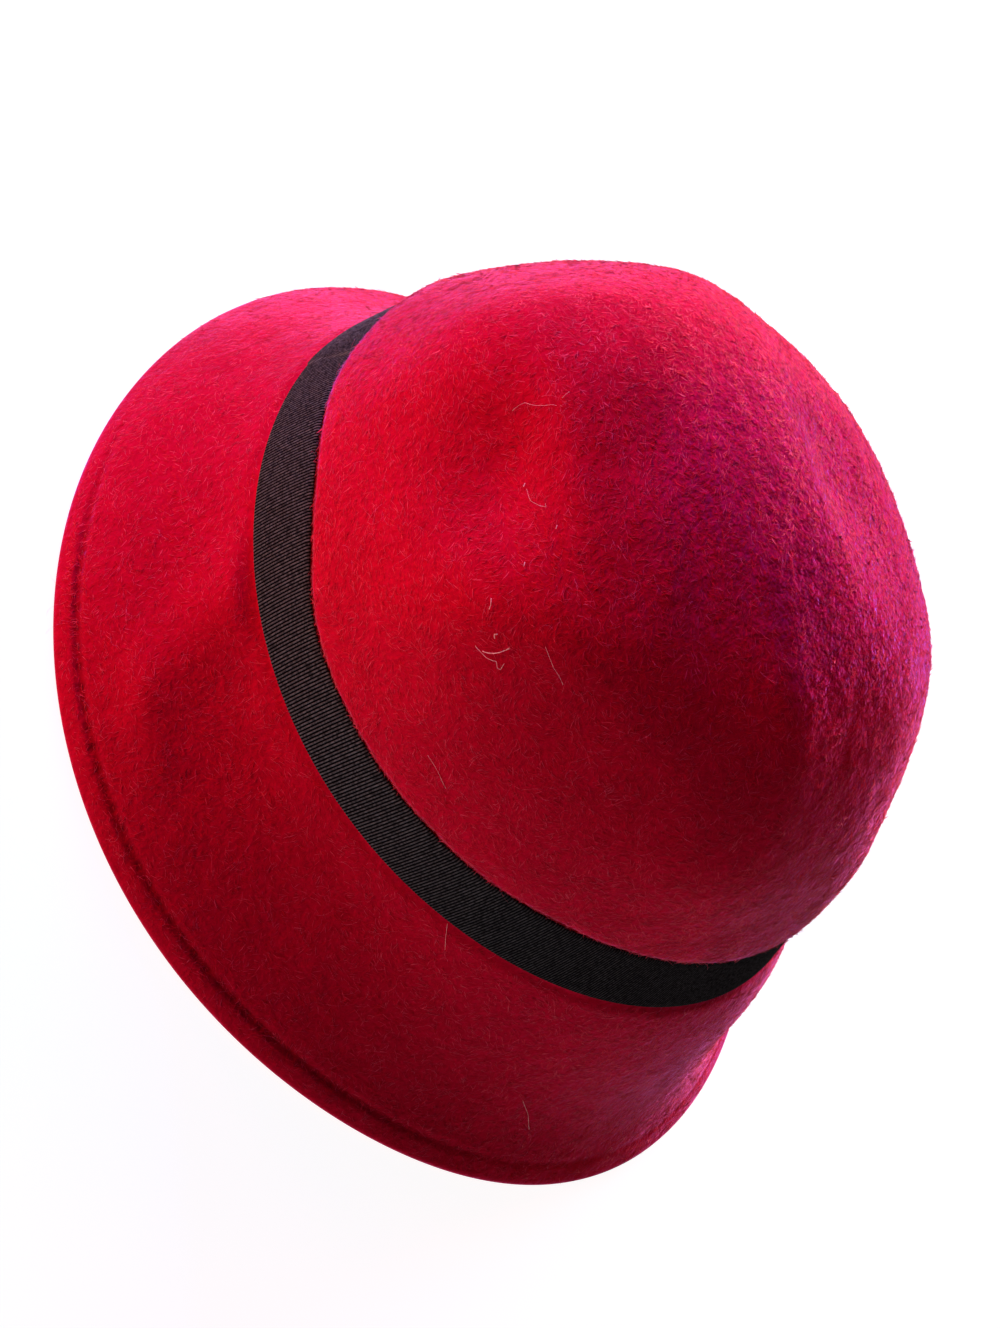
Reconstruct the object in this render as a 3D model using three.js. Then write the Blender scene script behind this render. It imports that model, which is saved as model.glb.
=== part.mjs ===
// Cloche hat: a crown and bell brim moulded from one piece of felt, with a ribbon round the foot of the crown.
// Millimetres, +Z up. The front is at -Y and the wearer's left at +X. The brim's edge rests on Z = 0.
import * as THREE from 'three';

// Outside of the felt at the ribbon's lower edge, as an oval that is narrower at the front.
const OVAL = { halfLength: 102, halfWidth: 84, narrowing: 0.04 };

// Crown: height of its tip, how far the tip lies behind the oval's centre, and the fullness of wall and top.
const CROWN = { top: 155.6, tipBack: 7.4, wallFullness: 0.65, topFullness: 0.7 };

// Brim: how long it holds its direction at the ribbon and at the edge.
const BRIM = { hold: 0.38 };

const FELT = { thickness: 2.2 };

// Hem: the edge is turned under and stitched, so it is a round fold, a little flattened where it rests.
const HEM = { depth: 5.8, foldRadius: 1.9, flattened: 0.28, grooveDepth: 0.5, grooveHalfWidth: 1.0, puff: 0.3 };

// Ribbon: laid in the felt, which it draws in. The felt swells again above it.
const RIBBON = { width: 24, thickness: 0.8, gap: 0.3, drawnInLow: 0.8, drawnInHigh: 1.4, ease: 4, swell: 1.3 };

// One row for each section through the hat, evenly spaced from front to back and mirrored left to right: the height
// of the ribbon's lower edge, the crown's inward lean there, the brim's reach past the oval, and its angles from the
// vertical at the ribbon and at the edge.
const SECTIONS = [
  { at: 'front', bandEdge: 66.5, crownLean: 23.8, brimReach: 45.0, startFlare: 46, edgeFlare: 53.7 },
  { at: 'front quarter', bandEdge: 62.4, crownLean: 11.8, brimReach: 37.2, startFlare: 27, edgeFlare: 50.2 },
  { at: 'side', bandEdge: 51.7, crownLean: -6.1, brimReach: 34.1, startFlare: 14, edgeFlare: 35.4 },
  { at: 'back quarter', bandEdge: 48.1, crownLean: -4.4, brimReach: 27.1, startFlare: 13, edgeFlare: 21.7 },
  { at: 'back', bandEdge: 49.3, crownLean: 1.4, brimReach: 18.8, startFlare: 13, edgeFlare: 15.8 },
];

// Dents (depth above 0) and swells (below 0) of the crown, one row each. azimuth is in degrees from the front
// toward the wearer's left, climb runs from the ribbon's lower edge (0) to the tip (1), along and across are the
// half sizes, and turn is the angle of the long axis from the horizontal.
const DENTS = [
  { at: 'right back hollow', azimuth: 222.5, climb: 0.46, along: 22.5, across: 13.9, turn: -19, depth: 3.8 },
  { at: 'right back ridge', azimuth: 219.5, climb: 0.58, along: 26.2, across: 7.1, turn: 16, depth: -1.3 },
  { at: 'right swell', azimuth: 243.5, climb: 0.37, along: 15.7, across: 22, turn: 0, depth: -2.4 },
  { at: 'right upper swell', azimuth: 255.5, climb: 0.52, along: 24.1, across: 12.8, turn: 26, depth: -2.4 },
  { at: 'right front swell', azimuth: 304.5, climb: 0.4, along: 29.9, across: 17.9, turn: -33, depth: -2.4 },
  { at: 'right shoulder flat', azimuth: 260, climb: 0.76, along: 30, across: 13.2, turn: -18, depth: 1.6 },
  { at: 'back shoulder flat', azimuth: 206, climb: 0.72, along: 28.3, across: 13.5, turn: -26, depth: 1.4 },
  { at: 'back upright swell', azimuth: 201, climb: 0.45, along: 30, across: 17.5, turn: 90, depth: -2.4 },
  { at: 'back slanting swell', azimuth: 184, climb: 0.47, along: 30, across: 16.3, turn: -45, depth: -2.4 },
  { at: 'left back corner', azimuth: 141, climb: 0.49, along: 16.3, across: 22, turn: -31, depth: -1.9 },
  { at: 'top crease', azimuth: 82.5, climb: 0.82, along: 29.6, across: 13.5, turn: -9, depth: 3.2 },
  { at: 'top back crease', azimuth: 108, climb: 0.87, along: 19.4, across: 8.3, turn: -41, depth: 2 },
  { at: 'left front swell', azimuth: 42, climb: 0.6, along: 18, across: 18, turn: 0, depth: -1 },
  { at: 'front flat', azimuth: 4, climb: 0.5, along: 16, across: 16, turn: 0, depth: 0.85 },
  { at: 'front swell', azimuth: 0, climb: 0.26, along: 18, across: 13, turn: 0, depth: -1.9 },
  { at: 'right front hump', azimuth: 306, climb: 0.68, along: 26, across: 10.5, turn: -60, depth: -2.2 },
  { at: 'front shoulder hollow', azimuth: 342, climb: 0.65, along: 30, across: 18, turn: 90, depth: 1.55 },
  { at: 'right front hollow', azimuth: 288, climb: 0.45, along: 30, across: 18, turn: 0, depth: 1.9 },
  { at: 'right foot swell', azimuth: 258, climb: 0.3, along: 30, across: 18, turn: -60, depth: -1.4 },
  { at: 'right back foot hollow', azimuth: 222, climb: 0.3, along: 30, across: 18, turn: 90, depth: 1.5 },
  { at: 'right back crease', azimuth: 222, climb: 0.5, along: 26, across: 8, turn: 0, depth: 0.8 },
  { at: 'back shoulder swell', azimuth: 186, climb: 0.65, along: 30, across: 18, turn: 0, depth: -1.6 },
  { at: 'back foot swell', azimuth: 192, climb: 0.35, along: 30, across: 18, turn: 60, depth: -1.5 },
  { at: 'left shoulder hollow', azimuth: 78, climb: 0.75, along: 30, across: 18, turn: 0, depth: 1.3 },
];

// Fineness of the mesh.
const MESH = { around: 72, brimRows: 8, crownRows: 17, innerCrownRows: 13, innerBrimRows: 7, arcSteps: 48 };

const FELT_RED = new THREE.MeshStandardMaterial({ color: 0xb4041e, roughness: 0.95, metalness: 0 });
const RIBBON_BLACK = new THREE.MeshStandardMaterial({ color: 0x14131a, roughness: 0.7, metalness: 0 });

const RAD = Math.PI / 180;
const UP = new THREE.Vector3(0, 0, 1);

// Value of one column of SECTIONS at an azimuth: the cosine series through its rows, smooth all the way round.
function sectionValue(column, azimuth) {
  const spans = SECTIONS.length - 1;
  let value = 0;
  for (let k = 0; k <= spans; k += 1) {
    let sum = 0;
    SECTIONS.forEach((row, j) => {
      const weight = j === 0 || j === spans ? 0.5 : 1;
      sum += weight * row[column] * Math.cos((Math.PI * j * k) / spans);
    });
    const share = k === 0 || k === spans ? 1 / spans : 2 / spans;
    value += share * sum * Math.cos(k * azimuth);
  }
  return value;
}

function bezier(p0, p1, p2, p3, t) {
  const s = 1 - t;
  return s * s * s * p0 + 3 * t * s * s * p1 + 3 * t * t * s * p2 + t * t * t * p3;
}

function smoothStep(from, to, x) {
  return THREE.MathUtils.smoothstep(x, from, to);
}

// Point of the oval at the ribbon's lower edge.
function ovalPoint(azimuth) {
  const x = OVAL.halfWidth * (1 - OVAL.narrowing * Math.cos(azimuth)) * Math.sin(azimuth);
  const y = -OVAL.halfLength * Math.cos(azimuth);
  return new THREE.Vector3(x, y, sectionValue('bandEdge', azimuth));
}

// Level direction that points straight out of the oval.
function ovalOutward(azimuth) {
  const ahead = ovalPoint(azimuth + 0.01);
  const along = ahead.sub(ovalPoint(azimuth - 0.01)).setZ(0);
  return along.cross(UP).normalize();
}

// Height at which the outer felt of the brim runs into the round fold of the hem.
function foldStartHeight(azimuth) {
  const flare = sectionValue('edgeFlare', azimuth) * RAD;
  return HEM.foldRadius * (1 + Math.sin(flare)) - HEM.flattened;
}

// Outer felt of the brim, from the hem's fold (t = 0) up to the ribbon's lower edge (t = 1).
function brimPoint(azimuth, t) {
  const top = ovalPoint(azimuth);
  const reach = sectionValue('brimReach', azimuth);
  const low = foldStartHeight(azimuth);
  const pull = BRIM.hold * Math.hypot(reach, top.z - low);
  const start = sectionValue('startFlare', azimuth) * RAD;
  const end = sectionValue('edgeFlare', azimuth) * RAD;
  const out = bezier(reach, reach - pull * Math.sin(end), pull * Math.sin(start), 0, t);
  const z = bezier(low, low + pull * Math.cos(end), top.z - pull * Math.cos(start), top.z, t);
  return top.setZ(z).addScaledVector(ovalOutward(azimuth), out);
}

// Outer felt of the crown before dents, from the ribbon's lower edge (t = 0) up to the tip (t = 1).
function crownPoint(azimuth, t) {
  const foot = ovalPoint(azimuth);
  const height = CROWN.top - foot.z;
  const lean = Math.tan(sectionValue('crownLean', azimuth) * RAD);
  const wall = 1 - (CROWN.wallFullness * height * lean) / Math.hypot(foot.x, foot.y);
  const shrink = bezier(1, wall, CROWN.topFullness, 0, t);
  const rise = bezier(0, CROWN.wallFullness, 1, 1, t);
  return new THREE.Vector3(foot.x * shrink, foot.y * shrink + CROWN.tipBack * rise, foot.z + height * rise);
}

// Outward direction of a skin given as a function of azimuth and t that both run counter-clockwise and up.
function outward(skin, azimuth, t) {
  const step = 0.004;
  const low = Math.max(t - step, 0);
  const high = Math.min(t + step, 1 - step);
  const around = skin(azimuth + step, t).sub(skin(azimuth - step, t));
  const climb = skin(azimuth, high).sub(skin(azimuth, low));
  if (t > 1 - 2 * step) {
    return UP.clone();
  }
  return around.cross(climb).normalize();
}

// Frame of each dent: its centre on the crown, its long and short axes and the outward direction there.
const dentFrames = DENTS.map((dent) => {
  const azimuth = dent.azimuth * RAD;
  const centre = crownPoint(azimuth, dent.climb);
  const normal = outward(crownPoint, azimuth, dent.climb);
  const level = UP.clone().cross(normal).normalize();
  const climb = normal.clone().cross(level);
  const long = level.multiplyScalar(Math.cos(dent.turn * RAD)).addScaledVector(climb, Math.sin(dent.turn * RAD));
  return { ...dent, centre, normal, long, short: normal.clone().cross(long) };
});

// How far the dents press the crown in at a point.
function dentDepth(point) {
  let depth = 0;
  for (const dent of dentFrames) {
    const away = point.clone().sub(dent.centre);
    const u = away.dot(dent.long) / dent.along;
    const v = away.dot(dent.short) / dent.across;
    const w = away.dot(dent.normal) / dent.along;
    depth += dent.depth * Math.exp(-(u * u + v * v + w * w));
  }
  return depth;
}

// How far the ribbon draws the felt in at a distance above its lower edge. Above the ribbon the felt swells out.
function ribbonDepth(above) {
  const held = THREE.MathUtils.lerp(RIBBON.drawnInLow, RIBBON.drawnInHigh, above / RIBBON.width);
  const lower = smoothStep(-RIBBON.ease, 0, above);
  const upper = 1 - smoothStep(RIBBON.width, RIBBON.width + RIBBON.ease, above);
  const past = (above - RIBBON.width - RIBBON.ease) / (3 * RIBBON.ease);
  return held * lower * upper - RIBBON.swell * (1 - upper) * Math.exp(-past * past);
}

// How far the stitches draw the felt in at a distance from the hem's fold. The hem itself puffs out.
function hemDepth(fromFold) {
  const groove = (fromFold - HEM.depth) / HEM.grooveHalfWidth;
  const puff = Math.sin(Math.PI * THREE.MathUtils.clamp(fromFold / HEM.depth, 0, 1));
  return HEM.grooveDepth * Math.exp(-groove * groove) - HEM.puff * puff;
}

// Lengths along one curve of a skin, so that rows can be set out by real distance.
function arcLengths(skin, azimuth) {
  const lengths = [0];
  let last = skin(azimuth, 0);
  for (let i = 1; i <= MESH.arcSteps; i += 1) {
    const next = skin(azimuth, i / MESH.arcSteps);
    lengths.push(lengths[i - 1] + next.distanceTo(last));
    last = next;
  }
  return lengths;
}

function paramAt(lengths, distance) {
  let i = 1;
  while (i < lengths.length - 1 && lengths[i] < distance) {
    i += 1;
  }
  const share = (distance - lengths[i - 1]) / (lengths[i] - lengths[i - 1]);
  return (i - 1 + share) / MESH.arcSteps;
}

// Outer felt of the crown and its outward direction at a distance above the ribbon's lower edge.
function crownFelt(azimuth, lengths, above) {
  const t = paramAt(lengths, above);
  const point = crownPoint(azimuth, t);
  const normal = outward(crownPoint, azimuth, t);
  const depth = dentDepth(point) + ribbonDepth(above);
  return { point: point.addScaledVector(normal, -depth), normal };
}

// Outer felt of the brim and its outward direction at a distance from the hem's fold.
function brimFelt(azimuth, lengths, fromFold) {
  const t = paramAt(lengths, fromFold);
  const point = brimPoint(azimuth, t);
  const normal = outward(brimPoint, azimuth, t);
  const total = lengths[lengths.length - 1];
  const depth = hemDepth(fromFold) + ribbonDepth(fromFold - total);
  return { point: point.addScaledVector(normal, -depth), normal };
}

function spread(from, to, count) {
  return Array.from({ length: count }, (_, i) => from + ((to - from) * i) / (count - 1));
}

// Distances from the hem's fold at which the brim has a row.
function brimStations(total) {
  const groove = [0.5 * HEM.depth, HEM.depth - HEM.grooveHalfWidth, HEM.depth, HEM.depth + HEM.grooveHalfWidth];
  const plain = spread(HEM.depth + 2 * HEM.grooveHalfWidth, total - RIBBON.ease, MESH.brimRows);
  return [0, ...groove, ...plain];
}

// Distances above the ribbon's lower edge at which the crown has a row. The tip is not one of them.
function crownStations(total) {
  const band = spread(0, RIBBON.width, 4);
  const plain = spread(RIBBON.width + RIBBON.ease, total, MESH.crownRows + 1);
  return [...band, ...plain.slice(0, -1)];
}

// One section of the felt body as a closed line: up the outside to the tip is first, the inside comes down after.
function feltSection(azimuth) {
  const brimLengths = arcLengths(brimPoint, azimuth);
  const crownLengths = arcLengths(crownPoint, azimuth);
  const brimTotal = brimLengths.at(-1);
  const crownTotal = crownLengths.at(-1);
  const brim = (distance) => brimFelt(azimuth, brimLengths, distance);
  const crown = (distance) => crownFelt(azimuth, crownLengths, distance);
  const inside = ({ point, normal }, thickness) => point.clone().addScaledVector(normal, -thickness);
  const outer = [
    ...brimStations(brimTotal).map((distance) => brim(distance).point),
    ...crownStations(crownTotal).map((distance) => crown(distance).point),
  ];
  const innerCrown = spread(crownTotal, 0, MESH.innerCrownRows + 1).slice(1);
  const innerBrim = spread(brimTotal - 2 * RIBBON.ease, HEM.depth + 1, MESH.innerBrimRows);
  const inner = [
    ...innerCrown.map((distance) => inside(crown(distance), FELT.thickness)),
    ...innerBrim.map((distance) => inside(brim(distance), FELT.thickness)),
    inside(brim(HEM.depth), 2 * HEM.foldRadius),
    inside(brim(0.5 * HEM.depth), 2 * HEM.foldRadius),
  ];
  return { outer, inner, fold: foldPoints(azimuth) };
}

// Round fold at the brim's edge, from the inside of the hem round to its outside, flat where it rests.
function foldPoints(azimuth) {
  const flare = sectionValue('edgeFlare', azimuth) * RAD;
  const level = ovalOutward(azimuth);
  const normal = level.clone().multiplyScalar(Math.cos(flare)).addScaledVector(UP, Math.sin(flare));
  const centre = brimPoint(azimuth, 0).addScaledVector(normal, -HEM.foldRadius);
  const halfFlat = Math.sqrt(2 * HEM.foldRadius * HEM.flattened - HEM.flattened ** 2);
  const round = (angle) => {
    const point = centre.clone().addScaledVector(level, HEM.foldRadius * Math.cos(angle));
    return point.addScaledVector(UP, HEM.foldRadius * Math.sin(angle));
  };
  const flat = (out) => centre.clone().addScaledVector(level, out).setZ(0);
  const restAngle = Math.acos(halfFlat / HEM.foldRadius);
  const insideTurn = (flare - Math.PI - (Math.PI - restAngle)) / 2;
  const outsideTurn = (flare - restAngle) / 2;
  const insideHalf = (insideTurn - Math.PI + restAngle) / 2;
  return [round(flare - Math.PI), round(insideHalf), flat(-halfFlat), flat(halfFlat), round(outsideTurn)];
}

// Closed mesh from sections that run round the vertical axis. Each section is a list of points; poles are single
// points at which a section's line starts and ends, or null where the line closes on itself.
function meshFromSections(sections, startPole, endPole) {
  const count = sections.length;
  const rows = sections[0].length;
  const points = sections.flat();
  const faces = [];
  const quad = (a, b, c, d) => faces.push(a, b, c, a, c, d);
  const spans = startPole ? rows - 1 : rows;
  for (let i = 0; i < count; i += 1) {
    const here = i * rows;
    const next = ((i + 1) % count) * rows;
    for (let j = 0; j < spans; j += 1) {
      const up = (j + 1) % rows;
      quad(here + j, next + j, next + up, here + up);
    }
    if (startPole) {
      faces.push(points.length, next, here);
      faces.push(points.length + 1, here + rows - 1, next + rows - 1);
    }
  }
  const all = startPole ? [...points, startPole, endPole] : points;
  const geometry = new THREE.BufferGeometry();
  geometry.setAttribute('position', new THREE.Float32BufferAttribute(all.flatMap((p) => [p.x, p.y, p.z]), 3));
  geometry.setIndex(faces);
  geometry.computeVertexNormals();
  return geometry;
}

function azimuths() {
  return Array.from({ length: MESH.around }, (_, i) => (2 * Math.PI * i) / MESH.around);
}

// Felt body: each section runs from the tip's inside down to the hem, round its fold and up the outside.
function makeHatBody() {
  const sections = azimuths().map((azimuth) => {
    const { outer, inner, fold } = feltSection(azimuth);
    return [...inner, ...fold, ...outer];
  });
  const tip = crownPoint(0, 1);
  const outerTip = tip.clone().addScaledVector(UP, -dentDepth(tip));
  const innerTip = outerTip.clone().addScaledVector(UP, -FELT.thickness);
  const body = new THREE.Mesh(meshFromSections(sections, innerTip, outerTip), FELT_RED);
  body.name = 'hat_body';
  return body;
}

// Ribbon: a closed loop laid on the felt, with its rows set out across its width.
function makeRibbonBand() {
  const across = spread(0.2, RIBBON.width - 0.2, 5);
  const sections = azimuths().map((azimuth) => {
    const lengths = arcLengths(crownPoint, azimuth);
    const skin = across.map((above) => crownFelt(azimuth, lengths, above));
    const lift = (height) => skin.map(({ point, normal }) => point.clone().addScaledVector(normal, height));
    return [...lift(RIBBON.gap + RIBBON.thickness), ...lift(RIBBON.gap).reverse()];
  });
  const ribbon = new THREE.Mesh(meshFromSections(sections, null, null), RIBBON_BLACK);
  ribbon.name = 'ribbon_band';
  return ribbon;
}

const hat = new THREE.Group();
hat.name = 'cloche_hat';
hat.add(makeHatBody(), makeRibbonBand());

// The origin is under the middle of the hat's outline from above.
const outline = new THREE.Box3().setFromObject(hat).getCenter(new THREE.Vector3());
hat.position.set(-outline.x, -outline.y, 0);

export default hat;
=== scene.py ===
"""A red felt cloche hat with a stitched hem and a black ribbed ribbon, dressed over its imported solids."""

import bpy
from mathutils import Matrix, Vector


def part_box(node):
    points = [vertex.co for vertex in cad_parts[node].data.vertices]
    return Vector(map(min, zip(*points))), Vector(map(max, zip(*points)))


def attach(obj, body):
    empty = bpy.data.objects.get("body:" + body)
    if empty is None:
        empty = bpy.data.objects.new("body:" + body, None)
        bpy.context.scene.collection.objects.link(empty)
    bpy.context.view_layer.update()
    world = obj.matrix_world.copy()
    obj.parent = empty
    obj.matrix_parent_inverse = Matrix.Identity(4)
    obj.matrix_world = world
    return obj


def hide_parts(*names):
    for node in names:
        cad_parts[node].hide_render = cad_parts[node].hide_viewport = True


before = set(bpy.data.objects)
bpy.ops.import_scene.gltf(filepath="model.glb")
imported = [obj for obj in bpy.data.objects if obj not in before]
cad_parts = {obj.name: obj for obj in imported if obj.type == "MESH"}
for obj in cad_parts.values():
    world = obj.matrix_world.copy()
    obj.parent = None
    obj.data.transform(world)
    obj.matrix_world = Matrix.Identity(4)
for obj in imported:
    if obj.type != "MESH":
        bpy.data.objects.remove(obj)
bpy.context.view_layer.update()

import logging
import math
from dataclasses import dataclass, field
from enum import Enum
from typing import Optional

import bpy
import numpy as np
from mathutils import Matrix, Vector

LOG = logging.getLogger("cloche_hat")
MM = 0.001
ROOT = "root"
LAP = "lap_end"
UP = np.array((0.0, 0.0, 1.0))


class Slot(Enum):
    """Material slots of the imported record."""

    FELT = "red_felt"
    RIBBON = "black_ribbon"
    THREAD = "red_thread"
    LINT = "pale_lint"


class Zone(Enum):
    """Parts of the felt's outside that carry a nap."""

    CROWN = "crown"
    BRIM = "brim"
    LIP = "lip"


# Numbers and small tools


def smooth_step(start: float, end: float, x: np.ndarray) -> np.ndarray:
    """Eases from 0 to 1.

    Args:
        start: where the rise begins.
        end: where the rise is done.
        x: places to read it at.

    Returns:
        The eased values.
    """
    t = np.clip((x - start) / (end - start), 0.0, 1.0)
    return t * t * (3.0 - 2.0 * t)


def bezier(p0: np.ndarray, p1: np.ndarray, p2: np.ndarray, p3: np.ndarray, t: np.ndarray) -> np.ndarray:
    """Reads a cubic curve.

    Args:
        p0: start value.
        p1: first handle.
        p2: second handle.
        p3: end value.
        t: place along the curve, 0 to 1.

    Returns:
        The curve's values.
    """
    s = 1.0 - t
    return s**3 * p0 + 3.0 * t * s * s * p1 + 3.0 * t * t * s * p2 + t**3 * p3


def unit(vectors: np.ndarray) -> np.ndarray:
    """Scales vectors to length 1."""
    return vectors / np.maximum(np.linalg.norm(vectors, axis=-1, keepdims=True), 1e-12)


def deselect_all() -> None:
    """Leaves object mode with nothing selected."""
    if bpy.context.object is not None and bpy.context.object.mode != "OBJECT":
        bpy.ops.object.mode_set(mode="OBJECT")
    bpy.ops.object.select_all(action="DESELECT")


def select_only(*pieces: bpy.types.Object) -> None:
    """Selects pieces and nothing else, with the first active.

    Args:
        pieces: what to select.
    """
    deselect_all()
    for piece in pieces:
        piece.select_set(True)
    bpy.context.view_layer.objects.active = pieces[0]


def lie_along(normal: np.ndarray, angle: np.ndarray) -> np.ndarray:
    """Finds directions that lie on the felt.

    Args:
        normal: outward directions of the felt.
        angle: turn from level toward the tip, in radians.

    Returns:
        One direction for each place.
    """
    around = unit(np.cross(UP, normal) + 1e-6)
    return around * np.cos(angle)[:, None] + np.cross(normal, around) * np.sin(angle)[:, None]


def toward(azimuth: float, elevation: float) -> Vector:
    """Finds the direction of a bearing.

    Args:
        azimuth: degrees from the front toward the wearer's left.
        elevation: degrees above the floor.

    Returns:
        A vector of length 1.
    """
    turn, height = math.radians(azimuth), math.radians(elevation)
    return Vector((math.sin(turn) * math.cos(height), -math.cos(turn) * math.cos(height), math.sin(height)))


def close_and_turn_out(obj: bpy.types.Object) -> None:
    """Merges an object's doubled points and turns its faces outward.

    Args:
        obj: the piece, whose seams and poles have points on top of each other.
    """
    select_only(obj)
    bpy.ops.object.mode_set(mode="EDIT")
    bpy.ops.mesh.select_all(action="SELECT")
    bpy.ops.mesh.remove_doubles(threshold=1e-6)
    bpy.ops.mesh.normals_make_consistent(inside=False)
    bpy.ops.object.mode_set(mode="OBJECT")
    bpy.ops.object.shade_smooth()


def wrapped_grid(name: str, points: np.ndarray) -> bpy.types.Object:
    """Adds a grid and lays its points round the hat.

    Args:
        name: the piece's name.
        points: places in millimetres, as rows x columns x 3. The last column joins the first.

    Returns:
        The object, with its seam still open.
    """
    rows, columns = points.shape[:2]
    deselect_all()
    bpy.ops.mesh.primitive_grid_add(x_subdivisions=columns, y_subdivisions=rows - 1, size=1.0)
    obj = bpy.context.object
    obj.name = obj.data.name = name
    flat = np.empty(3 * len(obj.data.vertices), dtype=np.float32)
    obj.data.vertices.foreach_get("co", flat)
    flat = flat.reshape(-1, 3)
    column = np.rint((flat[:, 0] + 0.5) * columns).astype(int)
    row = np.rint((flat[:, 1] + 0.5) * (rows - 1)).astype(int)
    placed = points[row, column % columns] * MM
    obj.data.vertices.foreach_set("co", placed.astype(np.float32).ravel())
    obj.data.update()
    return obj


def grid_places(obj: bpy.types.Object, rows: int, columns: int) -> tuple[np.ndarray, np.ndarray]:
    """Finds the row and column of each point of a wrapped grid from its UV map.

    Args:
        obj: a grid that still has the map it was added with.
        rows: how many rows of points it has.
        columns: how many columns it has, before the one that joins the first.

    Returns:
        One row number and one column number for each point.
    """
    loops = len(obj.data.loops)
    uv = np.empty(2 * loops, dtype=np.float32)
    obj.data.uv_layers.active.uv.foreach_get("vector", uv)
    corner = np.empty(loops, dtype=np.int32)
    obj.data.loops.foreach_get("vertex_index", corner)
    places = np.zeros((len(obj.data.vertices), 2))
    places[corner] = uv.reshape(-1, 2)
    row = np.rint(places[:, 1] * (rows - 1)).astype(int)
    return row, np.rint(places[:, 0] * columns).astype(int) % columns


def mesh_from_arrays(name: str, points: np.ndarray, faces: np.ndarray,
                     facing: Optional[np.ndarray] = None) -> bpy.types.Object:
    """Makes a piece from arrays, for things that repeat by the thousand.

    Args:
        name: the piece's name.
        points: places in metres, one row each.
        faces: point numbers, one row for each face.
        facing: directions that the points are shaded by, if they aren't the mesh's own.

    Returns:
        The object, smooth shaded.
    """
    mesh = bpy.data.meshes.new(name)
    mesh.from_pydata(points, [], faces)
    mesh.polygons.foreach_set("use_smooth", np.ones(len(faces), dtype=bool))
    if facing is not None:
        mesh.normals_split_custom_set_from_vertices(facing)
    mesh.update()
    obj = bpy.data.objects.new(name, mesh)
    bpy.context.scene.collection.objects.link(obj)
    return obj


def dress(obj: bpy.types.Object, material: bpy.types.Material) -> bpy.types.Object:
    """Gives a piece its finish, and makes it ride on the hat.

    Args:
        obj: the piece.
        material: its finish.

    Returns:
        The same piece.
    """
    obj.data.materials.clear()
    obj.data.materials.append(material)
    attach(obj, ROOT)
    LOG.info("%s: %d faces", obj.name, len(obj.data.polygons))
    return obj


# The hat's form


@dataclass(frozen=True)
class Section:
    """One upright section through the hat, in millimetres and degrees from the vertical."""

    band_edge: float
    crown_lean: float
    brim_reach: float
    start_flare: float
    edge_flare: float


@dataclass(frozen=True)
class Dent:
    """A hollow of the crown (depth above 0) or a swell (below 0), in degrees and millimetres."""

    azimuth: float
    climb: float
    along: float
    across: float
    turn: float
    depth: float


@dataclass
class Skin:
    """A skin of the felt as curves that climb it, one for each azimuth.

    Attributes:
        points: steps x azimuths x 3, in millimetres.
        normals: outward directions at the points.
        lengths: steps x azimuths, the distance climbed.
        sag: how far the felt has slid down over the ribbon, one for each azimuth.
    """

    points: np.ndarray
    normals: np.ndarray
    lengths: np.ndarray
    sag: np.ndarray

    @classmethod
    def through(cls, points: np.ndarray, sag: np.ndarray) -> "Skin":
        """Measures a skin.

        Args:
            points: steps x azimuths x 3, in millimetres, all the way round.
            sag: how far the felt has slid down over the ribbon.

        Returns:
            The skin with its directions and lengths.
        """
        climb = np.gradient(points, axis=0)
        around = np.roll(points, -1, axis=1) - np.roll(points, 1, axis=1)
        normals = unit(np.cross(around, climb))
        flat = np.linalg.norm(around, axis=-1) < 1e-6
        normals[flat] = UP
        steps = np.linalg.norm(np.diff(points, axis=0), axis=-1)
        lengths = np.vstack([np.zeros((1, points.shape[1])), np.cumsum(steps, axis=0)])
        return cls(points, normals, lengths, sag)

    @property
    def total(self) -> np.ndarray:
        """Length of each curve."""
        return self.lengths[-1]

    def at(self, distances: np.ndarray) -> tuple[np.ndarray, np.ndarray]:
        """Reads the skin at distances along its curves.

        Args:
            distances: rows x azimuths, in millimetres.

        Returns:
            Points and outward directions, rows x azimuths x 3.
        """
        points = np.empty(distances.shape + (3,))
        normals = np.empty_like(points)
        for j in range(distances.shape[1]):
            for k in range(3):
                points[:, j, k] = np.interp(distances[:, j], self.lengths[:, j], self.points[:, j, k])
                normals[:, j, k] = np.interp(distances[:, j], self.lengths[:, j], self.normals[:, j, k])
        return points, unit(normals)


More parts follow.
